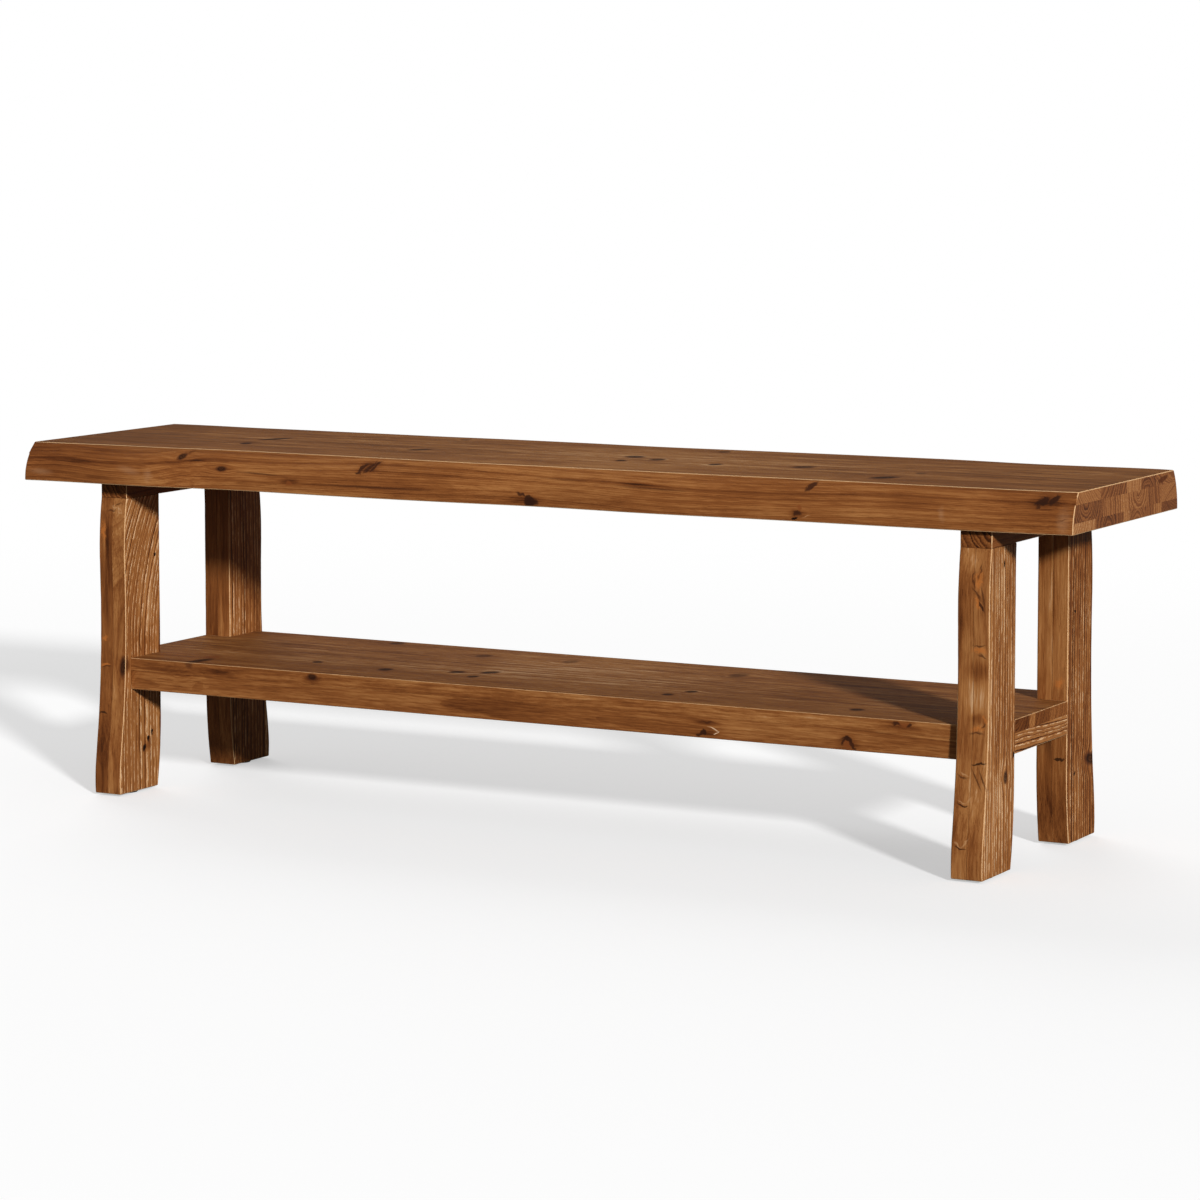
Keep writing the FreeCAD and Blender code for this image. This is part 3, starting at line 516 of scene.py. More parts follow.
@dataclass(frozen=True, kw_only=True)
class Knot(Mark):
    """A knot that the grain flows round.

    Core and rim are its colours. Show is how much of it is seen, and nought leaves only the grain's
    flow. Push is how far it lifts the rings, in mm, and part how strongly it parts the grain.
    """

    kind: Kind = Kind.HOLE
    core: Colour = (0.020, 0.007, 0.004)
    rim: Colour = (0.070, 0.021, 0.008)
    show: float = 1.0
    push: float = 1.5
    part: float = 0.75

    LONGER, WIDER = 1.15, 1.4

    @classmethod
    def level(cls, x: float, y: float, z: float, long: float, wide: float, slant: float,
              show: float = 1.0) -> "Knot":
        """Makes a small knot on a level board."""
        reach = (cls.LONGER * long, cls.WIDER * wide)
        return cls(face=Face.TOP, at=(x, y, z), reach=reach, slant=slant, show=show)

    @classmethod
    def swell(cls, at: Triple, reach: tuple[float, float], push: float, part: float = 0.0) -> "Knot":
        """Makes a place on the front where the grain swells round nothing that shows."""
        return cls(face=Face.FRONT, at=at, reach=reach, depth=reach[1], show=0.0, push=push, part=part)


RED = (0.090, 0.025, 0.009)
FRONT, RIGHT = Face.FRONT, Face.RIGHT
front, top, right = (face.mark for face in Face)
top_knot, swell = Knot.level, Knot.swell
(HOLE, STROKE, PATCH, LINE, JAG, GLOW, PALE, SCUFF, SCRATCH, RUST, SHADE, DUSK, GOLD, BLOOM) = Kind

SEAT_MARKS = (
    Knot(face=FRONT, at=(-492.3, -162.5, 447.4), reach=(5.4, 3.4), slant=26, push=0.0, part=0.0),
    swell((-492.3, -162.5, 447.4), (10.0, 4.0), 1.0, 0.3),
    swell((-575.0, -180.0, 442.0), (26.0, 90.0), 4.0),
    swell((-150.0, -172.0, 430.0), (60.0, 90.0), -4.0),
    swell((300.0, -162.0, 430.0), (50.0, 90.0), 4.0),
    front(SHADE, -484, -156, 452.5, 9, 3, 30),
    Knot(face=FRONT, at=(-429.7, -167.1, 434.6), reach=(6.6, 2.8), push=1.0, part=0.6),
    front(SHADE, -429.9, -167.2, 434.4, 26, 2.4),
    front(RUST, -323.8, -173.1, 421.7, 7.5, 3.6),
    front(SHADE, -324, -173.1, 423.7, 22, 6),
    front(SHADE, -212, -158.5, 445, 28, 16, 30, 0, 16),
    front(STROKE, -221.5, -160, 443.5, 12.5, 4, 46, 0, 14),
    front(STROKE, -211, -159, 445.5, 13.5, 3.6, 50, 0, 14),
    front(STROKE, -203.5, -158, 447, 11, 2.4, 52, 0, 14),
    front(STROKE, -224, -162, 438.5, 8, 2.8, 0, 0, 14),
    front(PATCH, 20.5, -166.4, 415.6, 10.5, 8.5, 4),
    front(PATCH, 22, -166.4, 412, 11, 6, 0),
    front(STROKE, 8, -166.4, 422.5, 9, 2.4, -18),
    front(SHADE, 15, -166, 417, 34, 9, 4),
    front(DUSK, -700, -180, 440, 120, 44, 0, 0, 60),
    front(DUSK, 690, -152, 436, 120, 50, 0, 0, 60),
    front(GOLD, -370, -168, 436, 140, 22, 0, 0, 50),
    front(GOLD, 500, -166, 420, 110, 14, 0, 0, 50),
    # Painted shade: the left end of the seat top darker, where less light falls
    top(DUSK, -690, 0, 457, 160, 260, 0, 0, 40),
    front(GOLD, -330, -173, 413, 260, 9, -0.5, 0, 40),
    front(GOLD, 40, -165, 428, 200, 24, 0, 0, 50),
    front(GOLD, -540, -182, 417, 70, 10, 0, 0, 40),
    front(SHADE, 166.3, -162.1, 442.4, 44, 3.4),
    front(LINE, -199.9, -174.8, 422.2, 125, 2.2),
    front(LINE, 60, -163, 443, 60, 1.8, -1),
    front(LINE, 190, -162, 438, 75, 2.4, -1),
    front(LINE, -370, -170, 431, 50, 1.6, -2, 0, 12),
    front(STROKE, 394, -153.4, 448.5, 12.5, 3.4, 40, 0, 14),
    front(RUST, 384.8, -166.3, 424.6, 4.4, 4.4),
    front(SHADE, 382.6, -167.6, 417.7, 16, 8),
    front(STROKE, 382.6, -167.6, 417.7, 7, 4),
    front(HOLE, 379.1, -168, 411.5, 5, 2.4),
    front(SCUFF, 394, -167.8, 414.3, 7.5, 0.8, 15),
    # Painted highlight: a pale streak of sheen on the seat front
    front(PALE, 566, -165.6, 426.4, 6, 14, 8),
    front(SHADE, 690, -151, 445, 32, 14, 8, 0, 16),
    front(PATCH, 685, -151.4, 444.5, 12, 6, 30, 0, 14),
    front(PATCH, 700, -150.2, 447, 10, 5, 46, 0, 14),
    # Painted highlight: a greyish sheen at the right end of the seat front
    front(PALE, 713, -160, 424, 12, 24, 0, 0, 20),
    front(LINE, 711.6, -157.2, 425.4, 10, 0.8, -3),
    front(DUSK, -650, -179.4, 436, 44, 4, -2, 0, 14),
    # Painted highlights: pale sheen in the hollows at the left of the seat front
    front(PALE, -532.9, -182.7, 423.4, 10, 14, 10),
    front(PALE, -563.6, -181.6, 428, 28, 7, -12),
    front(PALE, -700.5, -182.9, 420.6, 26, 6, -3),
    front(SHADE, -454.4, -164.8, 443.4, 74, 2.2, 0, -1.6),
    front(SHADE, -446.3, -172.5, 423.8, 68, 2, 0, 1.4),
    # Painted light: the middle of the seat top lighter, a pool of soft light and sheen
    top(BLOOM, 130, -20, 457, 330, 220, 0, 0, 30),
    top(BLOOM, 90, 40, 457, 460, 260, 0, 0, 30),
    top_knot(-468.2, 18.3, 457, 17, 6, 62),
    top_knot(-466.4, -54.5, 457, 5, 8, 20),
    top_knot(-218.7, -27.7, 457, 12, 6, 50),
    top_knot(-242, 128, 457, 5, 8, 20, 0.5),
    top_knot(70, 14, 457, 9, 8, 45),
    top_knot(78.5, -39, 457, 5, 6, 20),
    top_knot(112.6, -6.7, 457, 7, 7, 6),
    top_knot(205.2, -30.2, 457, 5.5, 7, 0),
    top_knot(137.6, 130, 457, 5.5, 8, 20, 0.7),
    top_knot(315.5, -9.7, 457, 11, 6.5, 42),
    top_knot(457.1, -86.6, 457, 14, 7, 60),
    top_knot(473.8, -16.5, 457, 5, 6, 20, 0.6),
    Knot(face=RIGHT, at=(725.0, 130.0, 449.0), reach=(13.0, 2.6), slant=8, core=RED, push=3.0),
)

SHELF_MARKS = (
    # Painted light: the middle of the shelf top lighter, a pool of soft light
    top(BLOOM, -80, 0, 179.5, 460, 220, 0, 0, 10),
    top(BLOOM, 0, 40, 179.5, 260, 160, 0, 0, 10),
    front(GOLD, 330, -150, 158, 220, 30, 0, 0, 30),
    front(DUSK, -530, -150, 172, 150, 18, 0, 0, 30),
    front(SHADE, -450, -149.5, 170, 34, 5, -3),
    top_knot(-491, -128.7, 179.5, 17, 5, 80),
    top(RUST, -496.5, -92.9, 179.5, 16, 14, 30),
    top_knot(-350.9, -66.6, 179.5, 5, 4.8, 40),
    top_knot(-238.4, -82.5, 179.5, 6.7, 5.9, 13),
    top_knot(-108, -42.2, 179.5, 10, 5.2, 60),
    top_knot(-147, -58.3, 179.5, 7.7, 5.2, 40),
    top_knot(-109.3, -82.6, 179.5, 5.4, 4.9, 10),
    top_knot(-352, 133.2, 179.5, 7, 6.4, 12, 0.7),
    top_knot(-190.2, 83, 179.5, 7.6, 8, 0, 0.55),
    top_knot(180.8, 83.9, 179.5, 8.2, 12, 4, 0.5),
    top_knot(175.8, -99.7, 179.5, 5.1, 4.7, 10),
    top_knot(191.1, -66.3, 179.5, 5.7, 4.8, 12),
    top_knot(429.9, -100.8, 179.5, 6.3, 5.2, 6),
    top_knot(-65, 90.9, 179.5, 7, 8.4, 6, 0.5),
    Knot(face=FRONT, at=(-306.3, -149.5, 173.8), reach=(6.0, 3.4)),
    front(SHADE, -306, -149.5, 170, 18, 8),
    front(PATCH, 249.5, -149.5, 145.5, 5.4, 5.2, 30),
    front(STROKE, 245, -149.5, 142.5, 6, 2.8, 20),
    front(SHADE, 258, -149.5, 145, 20, 6),
    front(SCRATCH, 264, -149.5, 151, 9, 1.1, -17, 0, 4),
    front(SCRATCH, 267.5, -149.5, 146.4, 6.4, 0.9, 30, 0, 4),
    front(SHADE, 253.6, -149.5, 157.5, 30, 6, -3),
    front(LINE, 256, -149.5, 158.5, 17, 2.2, -3),
    front(RUST, 441, -149.5, 147, 9, 8),
    front(SHADE, 441, -149.5, 149, 20, 13),
    front(STROKE, 440, -149.5, 154, 10, 3.6, -12, -1.8),
    front(PATCH, 440, -149.5, 152.5, 5.5, 4, -20),
    front(STROKE, 445, -149.5, 147, 12, 3.4, -56),
    front(STROKE, 435.5, -149.5, 149, 8, 2.4, 66),
    front(RUST, 512, -149.5, 174.4, 15, 4, -2),
    front(STROKE, 504, -149.5, 174.5, 7.5, 2.6, -4),
    front(STROKE, 520, -149.5, 174, 6, 2.6, 24),
    front(SHADE, 508, -149.5, 173, 40, 6, -3),
)

LEG_MARKS = (
    front(SHADE, -612, -161, 330, 48, 5, 90),
    front(SHADE, -616, -166, 70, 40, 8, 80),
    front(DUSK, -605, -172, 60, 70, 40, 90),
    right(GOLD, 625, -115, 80, 90, 80, 90),
    front(GOLD, 605, 81.8, 290, 120, 40, 90, 0, 14),
    front(DUSK, 605, 81.8, 50, 60, 34, 90, 0, 30),
    front(GOLD, 615.5, 81.8, 300, 260, 20, 90, 0, 10),
    front(GOLD, 617.5, 81.8, 300, 240, 22, 90, 0, 10),
    # Painted shade: the back left leg's inner side darker low down under the shelf, where it lies in shade
    right(DUSK, -585, 130, 60, 110, 90, 90),
    front(GOLD, -600, -158, 374, 18, 14),
    front(JAG, -616.5, -166.5, 107, 9, 1.6),
    front(LINE, -606.2, -158.1, 371.5, 11, 1.6, 14, 2),
    front(SCUFF, -600, -157.2, 375.5, 10, 1.8, 8, 2.5),
    front(SCUFF, -594, -157.2, 369, 6, 1.4, -20, 1.5),
    front(LINE, -597, -157.2, 380.5, 9, 1.2, 10, -1.5),
    front(GLOW, -618.4, -160.2, 344.6, 18.9, 4.4, 90),
    front(GLOW, -617.6, -160.3, 205, 7, 3.6, 20),
    front(GLOW, -616.5, -161.7, 172, 10, 1.8, 10, -2.5),
    front(LINE, -616.5, -161.7, 169.5, 10, 1.4, 10, -2.5),
    Knot(face=FRONT, at=(-589.0, -160.5, 169.0), reach=(11.5, 3.8), slant=86, push=2.5),
    right(HOLE, -585, -93.4, 309.6, 4, 3, 80),
    right(HOLE, -585, -103.6, 76, 4, 2.6, 70),
    right(HOLE, -585, -111.5, 68, 5, 2.8, 70),
    right(HOLE, -585, -120.7, 57.3, 5.6, 4.2, 40),
    right(SHADE, -585, -114, 62, 18, 12, 50),
    front(GOLD, 604, -158.5, 374, 26, 20),
    front(GOLD, 607, -167.5, 100, 52, 22, 90),
    front(SHADE, 588, -160, 300, 70, 6, 90),
    front(SHADE, 612, -160.5, 246, 26, 18),
    front(DUSK, 590, -158, 345, 60, 16, 90, 0, 16),
    front(GOLD, 606, -160, 215, 30, 26, 0, 0, 16),
    front(SHADE, 612, -160.5, 190, 16, 10),
    front(SHADE, 588, -173, 50, 40, 6, 88),
    front(GLOW, 611, -159.8, 350, 15, 6.5, 82),
    front(GLOW, 610, -160.4, 326, 11, 4.5, 115),
    front(LINE, 617, -160.9, 331, 20, 1.8, 100, 1.2),
    front(LINE, 608, -160.4, 334, 14, 2, 128, -1.2),
    front(STROKE, 615.5, -160.4, 322, 11, 1.5, 122, 0.8),
    front(LINE, 612.5, -160.4, 362, 16, 1.6, 80, 1.6),
    front(LINE, 605, -160.4, 352, 18, 1.4, 92, -1),
    front(GLOW, 613, -160, 269.5, 13, 4.6),
    front(LINE, 612.3, -160, 274.6, 12, 1.8, 2, 0.8),
    front(LINE, 616.3, -160, 263.6, 9, 1.6, -14, -0.8),
    front(GLOW, 611, -161, 178.6, 12, 4.4, 6),
    front(LINE, 610, -161, 173.4, 12, 1.8, 2, -0.8),
    front(LINE, 619, -161, 182.4, 8, 1.4, 60, 0.8),
    front(GLOW, 621.5, -160.7, 188.7, 8.1, 3, 105),
    front(JAG, 614.5, -163.5, 138, 11, 1.8, 4),
    front(LINE, 612.5, -164.9, 119, 21, 1.6, -62),
    front(LINE, 619.5, -164.9, 120, 20, 1.6, -66),
    front(LINE, 594, -164.8, 121, 10, 1.8, -14, 2),
    front(SCUFF, 596, -164.8, 125, 8, 1.6, -24, 1.5),
    front(SCUFF, 594.7, -168.7, 92.2, 9, 1.6, -16, 1.8),
    front(SCUFF, 604.5, -168.7, 95.5, 6, 1.4, 48, 0.8),
    front(STROKE, 595.5, -168.7, 88.6, 9, 1.4, -8, 1.4),
    front(SCUFF, 594, -175.1, 43, 6, 1.6, -30, 0.8),
    front(SCUFF, 602.5, -175.1, 46, 9, 1.4, 44, 0.8),
    front(STROKE, 596, -175.1, 39.6, 8, 1.4, -12, 1.2),
    right(HOLE, 625, -118.2, 366.7, 6, 3, 84),
    right(HOLE, 625, -86, 138, 5, 2.6, 86),
    Knot(face=RIGHT, at=(625.0, -109.5, 115.2), reach=(6.4, 4.6), slant=86),
    front(JAG, 615.8, 81.8, 107.3, 10, 1.6, 6),
    front(GLOW, 614.2, 81.8, 200, 7, 8),
    front(SHADE, 606, 81.8, 290, 60, 3, 90),
    right(HOLE, 625, 103.3, 286.6, 3.2, 2.6, 88),
    Knot(face=RIGHT, at=(625.0, 160.0, 98.0), reach=(18.0, 6.5), slant=-12, rim=RED, push=6.0),
    right(HOLE, 625, 107.5, 87.8, 3.4, 2.6, 88),
)
MARKS = SEAT_MARKS + SHELF_MARKS + LEG_MARKS


# Finishes


@dataclass(frozen=True)
class WoodFinish:
    """The stained finish of one softwood board.

    Tones run from nought, almost black, to one, bare pale wood, and the weights say how many tones a
    feature adds or takes at most. Hearts are the pith's place across the board, in mm, as the board
    lies with its grain along X. Bow is how strongly the grain bends away past its start. Seeds only
    keep the boards' noises apart.
    """

    name: str
    run: Run
    seed: float
    tone: float = 0.50
    heart: tuple[float, float] = (0.0, 300.0)
    ring: float = 5.0
    sway: float = 14.0
    wobble: float = 1.4
    uneven: float = 1.1
    line: float = 0.20
    streak: float = 0.08
    band: float = 0.07
    fine: float = 0.06
    cloud: float = 0.06
    dash: float = 0.0
    brush: float = 0.0
    bow: float = 0.0
    end_tone: float = 0.40
    end_heart: tuple[float, float] = (0.0, 0.0)
    end_ring: float = 4.5
    end_line: float = 0.30
    wear: float = 1.0
    painted_top_sheen: float = 0.0
    end_dry: float = 0.0

    STAIN = (
        (0.0, (0.018, 0.006, 0.003)),
        (0.25, (0.112, 0.032, 0.008)),
        (0.5, (0.225, 0.075, 0.019)),
        (0.75, (0.380, 0.161, 0.049)),
        (1.0, (0.620, 0.390, 0.215)),
    )
    RUBBED = (0.620, 0.380, 0.190)
    # Painted sheen: a paler, greyer veil for the faces that look up, standing in for the reflection seen on
    # them at a grazing angle
    PAINTED_TOP_SHEEN = (0.300, 0.175, 0.055)
    DRY = (0.270, 0.150, 0.110)
    SEAM_SHADE, SEAM_SHARE = (0.030, 0.010, 0.005), 0.8
    RIM_SHARE, CORE_SHARE = 0.7, 0.95
    BOW_FROM = 200.0
    FACING = (0.72, 0.86)
    UP, BRUSHED_WAY = (0.0, 0.0, 1.0), (1.0, 0.0, 0.0)
    BROKEN = (-0.7, 0.6, 0.10, 1.05)
    PORE_TONE, RAY_TONE, BRUSHED_TONE, RIDGE_TONE, GROOVE_TONE = -0.10, 0.10, 0.02, 0.45, -0.40
    LINE_RELIEF, STREAK_RELIEF, FINE_RELIEF, PORE_RELIEF = -0.5, 0.1, 0.25, -0.6
    RIDGE_RELIEF, HOLE_RELIEF = 1.5, -2.0
    BUMP = (0.6, 0.4 * MM)
    DULLNESS, STREAK_DULL, END_DULL, WORN_DULL = 0.58, 0.05, 0.15, 0.10
    SPECULAR = 0.13

    def make(self, effects: Effects, box: tuple[Vector, Vector]) -> bpy.types.Material:
        """Makes the board's material.

        Args:
            effects: The shared effects.
            box: The board's lowest and highest corners, which choose its marks.

        Returns:
            The material.
        """
        material, w, shader = Wiring.material(self.name)
        shader.inputs["Specular IOR Level"].default_value = self.SPECULAR
        given = w.add("TexCoord").outputs
        here, normal = given["Object"], given["Normal"]
        knots, washes, blemishes = self._marks(w, effects, here, box)
        figure, fibre, rings = self._grain(w, effects, here, knots)
        end = self._facing(w, normal, self.run.way)
        tone, height = self._long_grain(w, figure, fibre, normal)
        # The washes add tones: stain taken more or less, and painted light and shade
        tone = w.total(tone, *((mask, mark.kind.value.tones) for mark, mask in washes))
        end_tone = w.total(self.end_tone, (rings["Ring"], -self.end_line), (rings["Ray"], self.RAY_TONE))
        tone = w.total(tone, (w.value("SUBTRACT", end_tone, tone), end))
        worn = w.effect(effects.edge_wear, Place=here, Amount=self.wear)["Mask"]
        layers = []
        # Painted sheen laid over the faces that look up
        if self.painted_top_sheen:
            layers.append((self._facing(w, normal, self.UP), self.painted_top_sheen, self.PAINTED_TOP_SHEEN))
        layers.append((end, self.end_dry, self.DRY))
        for knot, out in knots:
            layers.append((out["Rim"], self.RIM_SHARE * knot.show, knot.rim))
            layers.append((out["Core"], self.CORE_SHARE * knot.show, knot.core))
        for mark, mask in blemishes:
            layers.append((mask, mark.kind.value.strength, mark.kind.value.colour))
            if mark.kind is HOLE:
                height = w.total(height, (mask, self.HOLE_RELIEF))
        layers += [(worn, 1.0, self.RUBBED), (w.read(Timber.SEAM), self.SEAM_SHARE, self.SEAM_SHADE)]
        colour = w.effect(effects.stain, Tone=tone)["Colour"]
        for mask, share, over in layers:
            if share:
                colour = w.blend(w.times(mask, share), colour, over)
        w.feed(shader.inputs["Base Color"], colour)
        dull = w.total(self.DULLNESS, (fibre["Streak"], self.STREAK_DULL), (end, self.END_DULL),
                       (worn, self.WORN_DULL))
        w.feed(shader.inputs["Roughness"], dull)
        w.bump(shader, height, *self.BUMP)
        return material

    def _marks(self, w: Wiring, effects: Effects, here: Socket, box: tuple[Vector, Vector]) -> tuple:
        """Places the board's marks.

        Args:
            w: The material's wiring.
            effects: The shared effects.
            here: The place on the bench.
            box: The board's lowest and highest corners.

        Returns:
            The knots with what they give, then the washes and the blemishes with their masks.
        """
        knots, washes, blemishes = [], [], []
        for mark in (m for m in MARKS if m.near(box)):
            if isinstance(mark, Knot):
                knots.append((mark, w.effect(effects.knot, Place=here, Part=mark.part, **mark.feeds())))
                continue
            look = mark.kind.value
            mask = w.effect(effects.mark, Place=here, Bend=mark.bend, Fray=look.fray, Waver=mark.waver,
                            Softness=look.softness, **mark.feeds())["Mask"]
            (washes if isinstance(look, Wash) else blemishes).append((mark, mask))
        return knots, washes, blemishes

    def _grain(self, w: Wiring, effects: Effects, here: Socket, knots: list) -> list[Outputs]:
        """Lays the board's grain, which flows round its knots.

        Args:
            w: The material's wiring.
            effects: The shared effects.
            here: The place on the bench.
            knots: The board's knots with what they give.

        Returns:
            What the figure, the fibre and the end rings give.
        """
        push, flow = 0.0, here
        for knot, out in knots:
            push = w.total(push, (out["Push"], knot.push * MM))
            flow = w.vector("SUBTRACT", flow, out["Shift"])
        place = w.add("Mapping", {"Vector": flow, "Rotation": self.run.turn}).outputs[0]
        if self.bow:
            past = w.value("MAXIMUM", w.total(-self.BOW_FROM * MM, (w.parts(place)[0], 1.0)), 0.0)
            place = w.vector("ADD", place, w.join(0.0, w.times(w.value("POWER", past, 2.0), -self.bow)))
        return [
            w.effect(effects.figure, Place=place, Heart=(0.0, self.heart[0] * MM, self.heart[1] * MM),
                     Ring=self.ring * MM, Sway=self.sway * MM, Wobble=self.wobble * MM,
                     Uneven=self.uneven, Push=push, Seed=self.seed),
            w.effect(effects.fibre, Place=place, Seed=self.seed),
            w.effect(effects.end_rings, Place=place, Ring=self.end_ring * MM, Seed=self.seed,
                     Heart=(0.0, self.end_heart[0] * MM, self.end_heart[1] * MM)),
        ]

    def _long_grain(self, w: Wiring, figure: Outputs, fibre: Outputs,
                    normal: Socket) -> tuple[Socket, Socket]:
        """Gives the tone and the relief of the board's long faces.

        Args:
            w: The material's wiring.
            figure: What the figure gives.
            fibre: What the fibre gives.
            normal: The way the place faces.

        Returns:
            The tone and the height.
        """
        tone = w.total(self.tone, (figure["Line"], -self.line), (fibre["Streak"], self.streak),
                       (fibre["Band"], self.band), (fibre["Fine"], self.fine), (fibre["Cloud"], self.cloud),
                       (fibre["Dash"], self.dash), (fibre["Pore"], self.PORE_TONE))
        height = w.total(0.0, (figure["Line"], self.LINE_RELIEF), (fibre["Streak"], self.STREAK_RELIEF),
                         (fibre["Fine"], self.FINE_RELIEF), (fibre["Pore"], self.PORE_RELIEF))
        if self.brush:
            brushed = w.times(self._facing(w, normal, self.BRUSHED_WAY), self.brush)
            broken = w.times(brushed, w.ease(fibre["Dash"], *self.BROKEN))
            tone = w.total(tone, (w.times(figure["Ridge"], broken), self.RIDGE_TONE),
                           (w.times(figure["Groove"], brushed), self.GROOVE_TONE),
                           (brushed, self.BRUSHED_TONE))
            height = w.total(height, (w.times(figure["Ridge"], brushed), self.RIDGE_RELIEF))
        return tone, height

    def _facing(self, w: Wiring, normal: Socket, axis: Triple) -> Socket:
        """Masks the faces that look along an axis."""
        return w.ease(w.value("ABSOLUTE", w.vector("DOT_PRODUCT", normal, axis)), *self.FACING)


@dataclass(frozen=True)
class PlainFinish:
    """A metal, plastic or hidden wood finish with a fine mottle."""

    name: str
    colour: Colour
    mottle: Colour
    metallic: float = 0.0
    roughness: float = 0.5
    grain: float = 900.0

    SPECKLE, SPECKLE_DULL = (3.0, 0.6), 0.12
    MOTTLED = (0.35, 0.7)
    BUMP = (0.2, 0.1 * MM)

    def make(self) -> bpy.types.Material:
        """Makes the material."""
        material, w, shader = Wiring.material(self.name)
        here = w.add("TexCoord").outputs["Object"]
        speckle = w.noise(here, self.grain, self.grain, *self.SPECKLE)
        mottled = w.blend(w.ease(speckle, *self.MOTTLED), opaque(self.colour), self.mottle)
        w.feed(shader.inputs["Base Color"], mottled)
        shader.inputs["Metallic"].default_value = self.metallic
        w.feed(shader.inputs["Roughness"], w.total(self.roughness, (speckle, self.SPECKLE_DULL)))
        w.bump(shader, speckle, *self.BUMP)
        return material


# Boards


@dataclass(frozen=True)
class Wear:
    """How a board's edges are worn, in mm.

    Arris is the eased width, bite how deep knocks go into it, and seam the width of the chamfer beside
    a member of its own. An edge shorter than shortest is left as it is, and a neighbour nearer than
    contact covers a side.
    """

    arris: float = 1.6
    bite: float = 0.25
    seam: float = 0.0
    shortest: float = 1.4
    contact: float = 0.6


class Timber:
    """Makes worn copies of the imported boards."""

    WEAR, SEAM = "wear", "seam"
    MERGE = 0.001 * MM
    FLAT = 0.002
    SHARP = math.radians(30)
    CREASE = SHARP * 1.2
    REACH = 3.0 * MM
    TOUCH = 0.08 * MM
    INSET = 1.0 * MM
    STEP = 12.0 * MM
    SPACING = 0.5 * MM
    LEVEL = 0.5
    ARRIS_STEPS = 3
    # The knocks in an arris: how many a metre, and how deep beside the bite
    KNOCKS = ((45.0, 1.0), (160.0, 0.5))

    def __init__(self, nodes: dict[str, bpy.types.Object]) -> None:
        """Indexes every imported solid, so that a board knows what lies against it."""
        self.nodes = nodes
        self.index = {}
        for name, piece in nodes.items():
            points = [v.co.copy() for v in piece.data.vertices]
            tree = BVHTree.FromPolygons(points, [tuple(p.vertices) for p in piece.data.polygons])
            self.index[name] = (tree, *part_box(name))

    def _neighbours(self, name: str) -> list[tuple]:
        """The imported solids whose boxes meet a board's box."""
        low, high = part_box(name)
        reach = Vector((self.REACH,) * 3)
        low, high = low - reach, high + reach
        return [entry for other, entry in self.index.items() if other != name
                and all(entry[1][i] <= high[i] and entry[2][i] >= low[i] for i in range(3))]

    def _covered(self, point: Vector, near: list[tuple], reach: float) -> bool:
        """Tells whether a neighbour lies against a point."""
        return any(
            all(low[i] - reach <= point[i] <= high[i] + reach for i in range(3))
            and tree.find_nearest(point, reach)[0] is not None
            for tree, low, high in near)

    def _open_sides(self, edge: bmesh.types.BMEdge, near: list[tuple], contact: float) -> int:
        """Counts the sides of an edge that nothing lies against."""
        middle = (edge.verts[0].co + edge.verts[1].co) / 2
        line = (edge.verts[1].co - edge.verts[0].co).normalized()
        count = 0
        for face in edge.link_faces:
            inward = face.normal.cross(line)
            if inward.dot(face.calc_center_median() - middle) < 0:
                inward.negate()
            count += not self._covered(middle + inward * self.INSET, near, contact)
        return count

    def _corners(self, bm: bmesh.types.BMesh, least: float = 0.0, turn: float = SHARP) -> Edges:
        """The edges no shorter than the least, in metres, where a board turns a corner."""
        return [e for e in bm.edges if len(e.link_faces) == 2 and e.calc_face_angle() > turn
                and e.calc_length() >= least]

    def _wearing(self, bm: bmesh.types.BMesh, near: list[tuple], wear: Wear, sides: int) -> Edges:
        """The corners, long enough to wear, that are open on so many sides."""
        return [e for e in self._corners(bm, wear.shortest * MM)
                if self._open_sides(e, near, wear.contact * MM) == sides]

    def _arris_index(self, edges: Edges) -> tuple[KDTree, list[Vector]]:
        """Samples the arrises before they are eased, so that a new point can find its own.

        Args:
            edges: The arrises.

        Returns:
            The samples' index, and the arris's direction at each sample.
        """
        points, ways = [], []
        for edge in edges:
            start, end = (v.co.copy() for v in edge.verts)
            parts = max(1, int(edge.calc_length() / self.SPACING))
            points += [start.lerp(end, i / parts) for i in range(parts + 1)]
            ways += [(end - start).normalized()] * (parts + 1)
        index = KDTree(len(points))
        for number, point in enumerate(points):
            index.insert(point, number)
        index.balance()
        return index, ways

    def _ease(self, bm: bmesh.types.BMesh, edges: Edges, width: float, steps: int) -> dict:
        """Bevels edges and returns what the operator made."""
        return bmesh.ops.bevel(bm, geom=edges, offset=width * MM, offset_type="OFFSET", segments=steps,
                               profile=0.5, affect="EDGES", clamp_overlap=False, material=-1)

    def _wear_arrises(self, bm: bmesh.types.BMesh, near: list[tuple], wear: Wear) -> set[bmesh.types.BMFace]:
        """Eases the open arrises and knocks them about.

        Args:
            bm: The board.
            near: The solids near it.
            wear: How its edges are worn.

        Returns:
            The strips of faces that stand in the arrises' place.
        """
        worn = bm.verts.layers.float[self.WEAR]
        arrises = self._wearing(bm, near, wear, 2)
        index, ways = self._arris_index(arrises)
        eased = self._ease(bm, arrises, wear.arris, self.ARRIS_STEPS)
        strips = set(eased["faces"])
        for vert in eased["verts"]:
            way = ways[index.find(vert.co)[1]]
            if all(f in strips or abs(f.normal.dot(way)) > self.LEVEL for f in vert.link_faces):
                vert[worn] = 1.0
                bite = sum(share * max(0.0, noise.noise(vert.co * cells)) for cells, share in self.KNOCKS)
                vert.co -= vert.normal * bite * wear.bite * MM
        for edge in bm.edges:
            if len({f in strips for f in edge.link_faces}) > 1:
                edge.smooth = False
        return strips

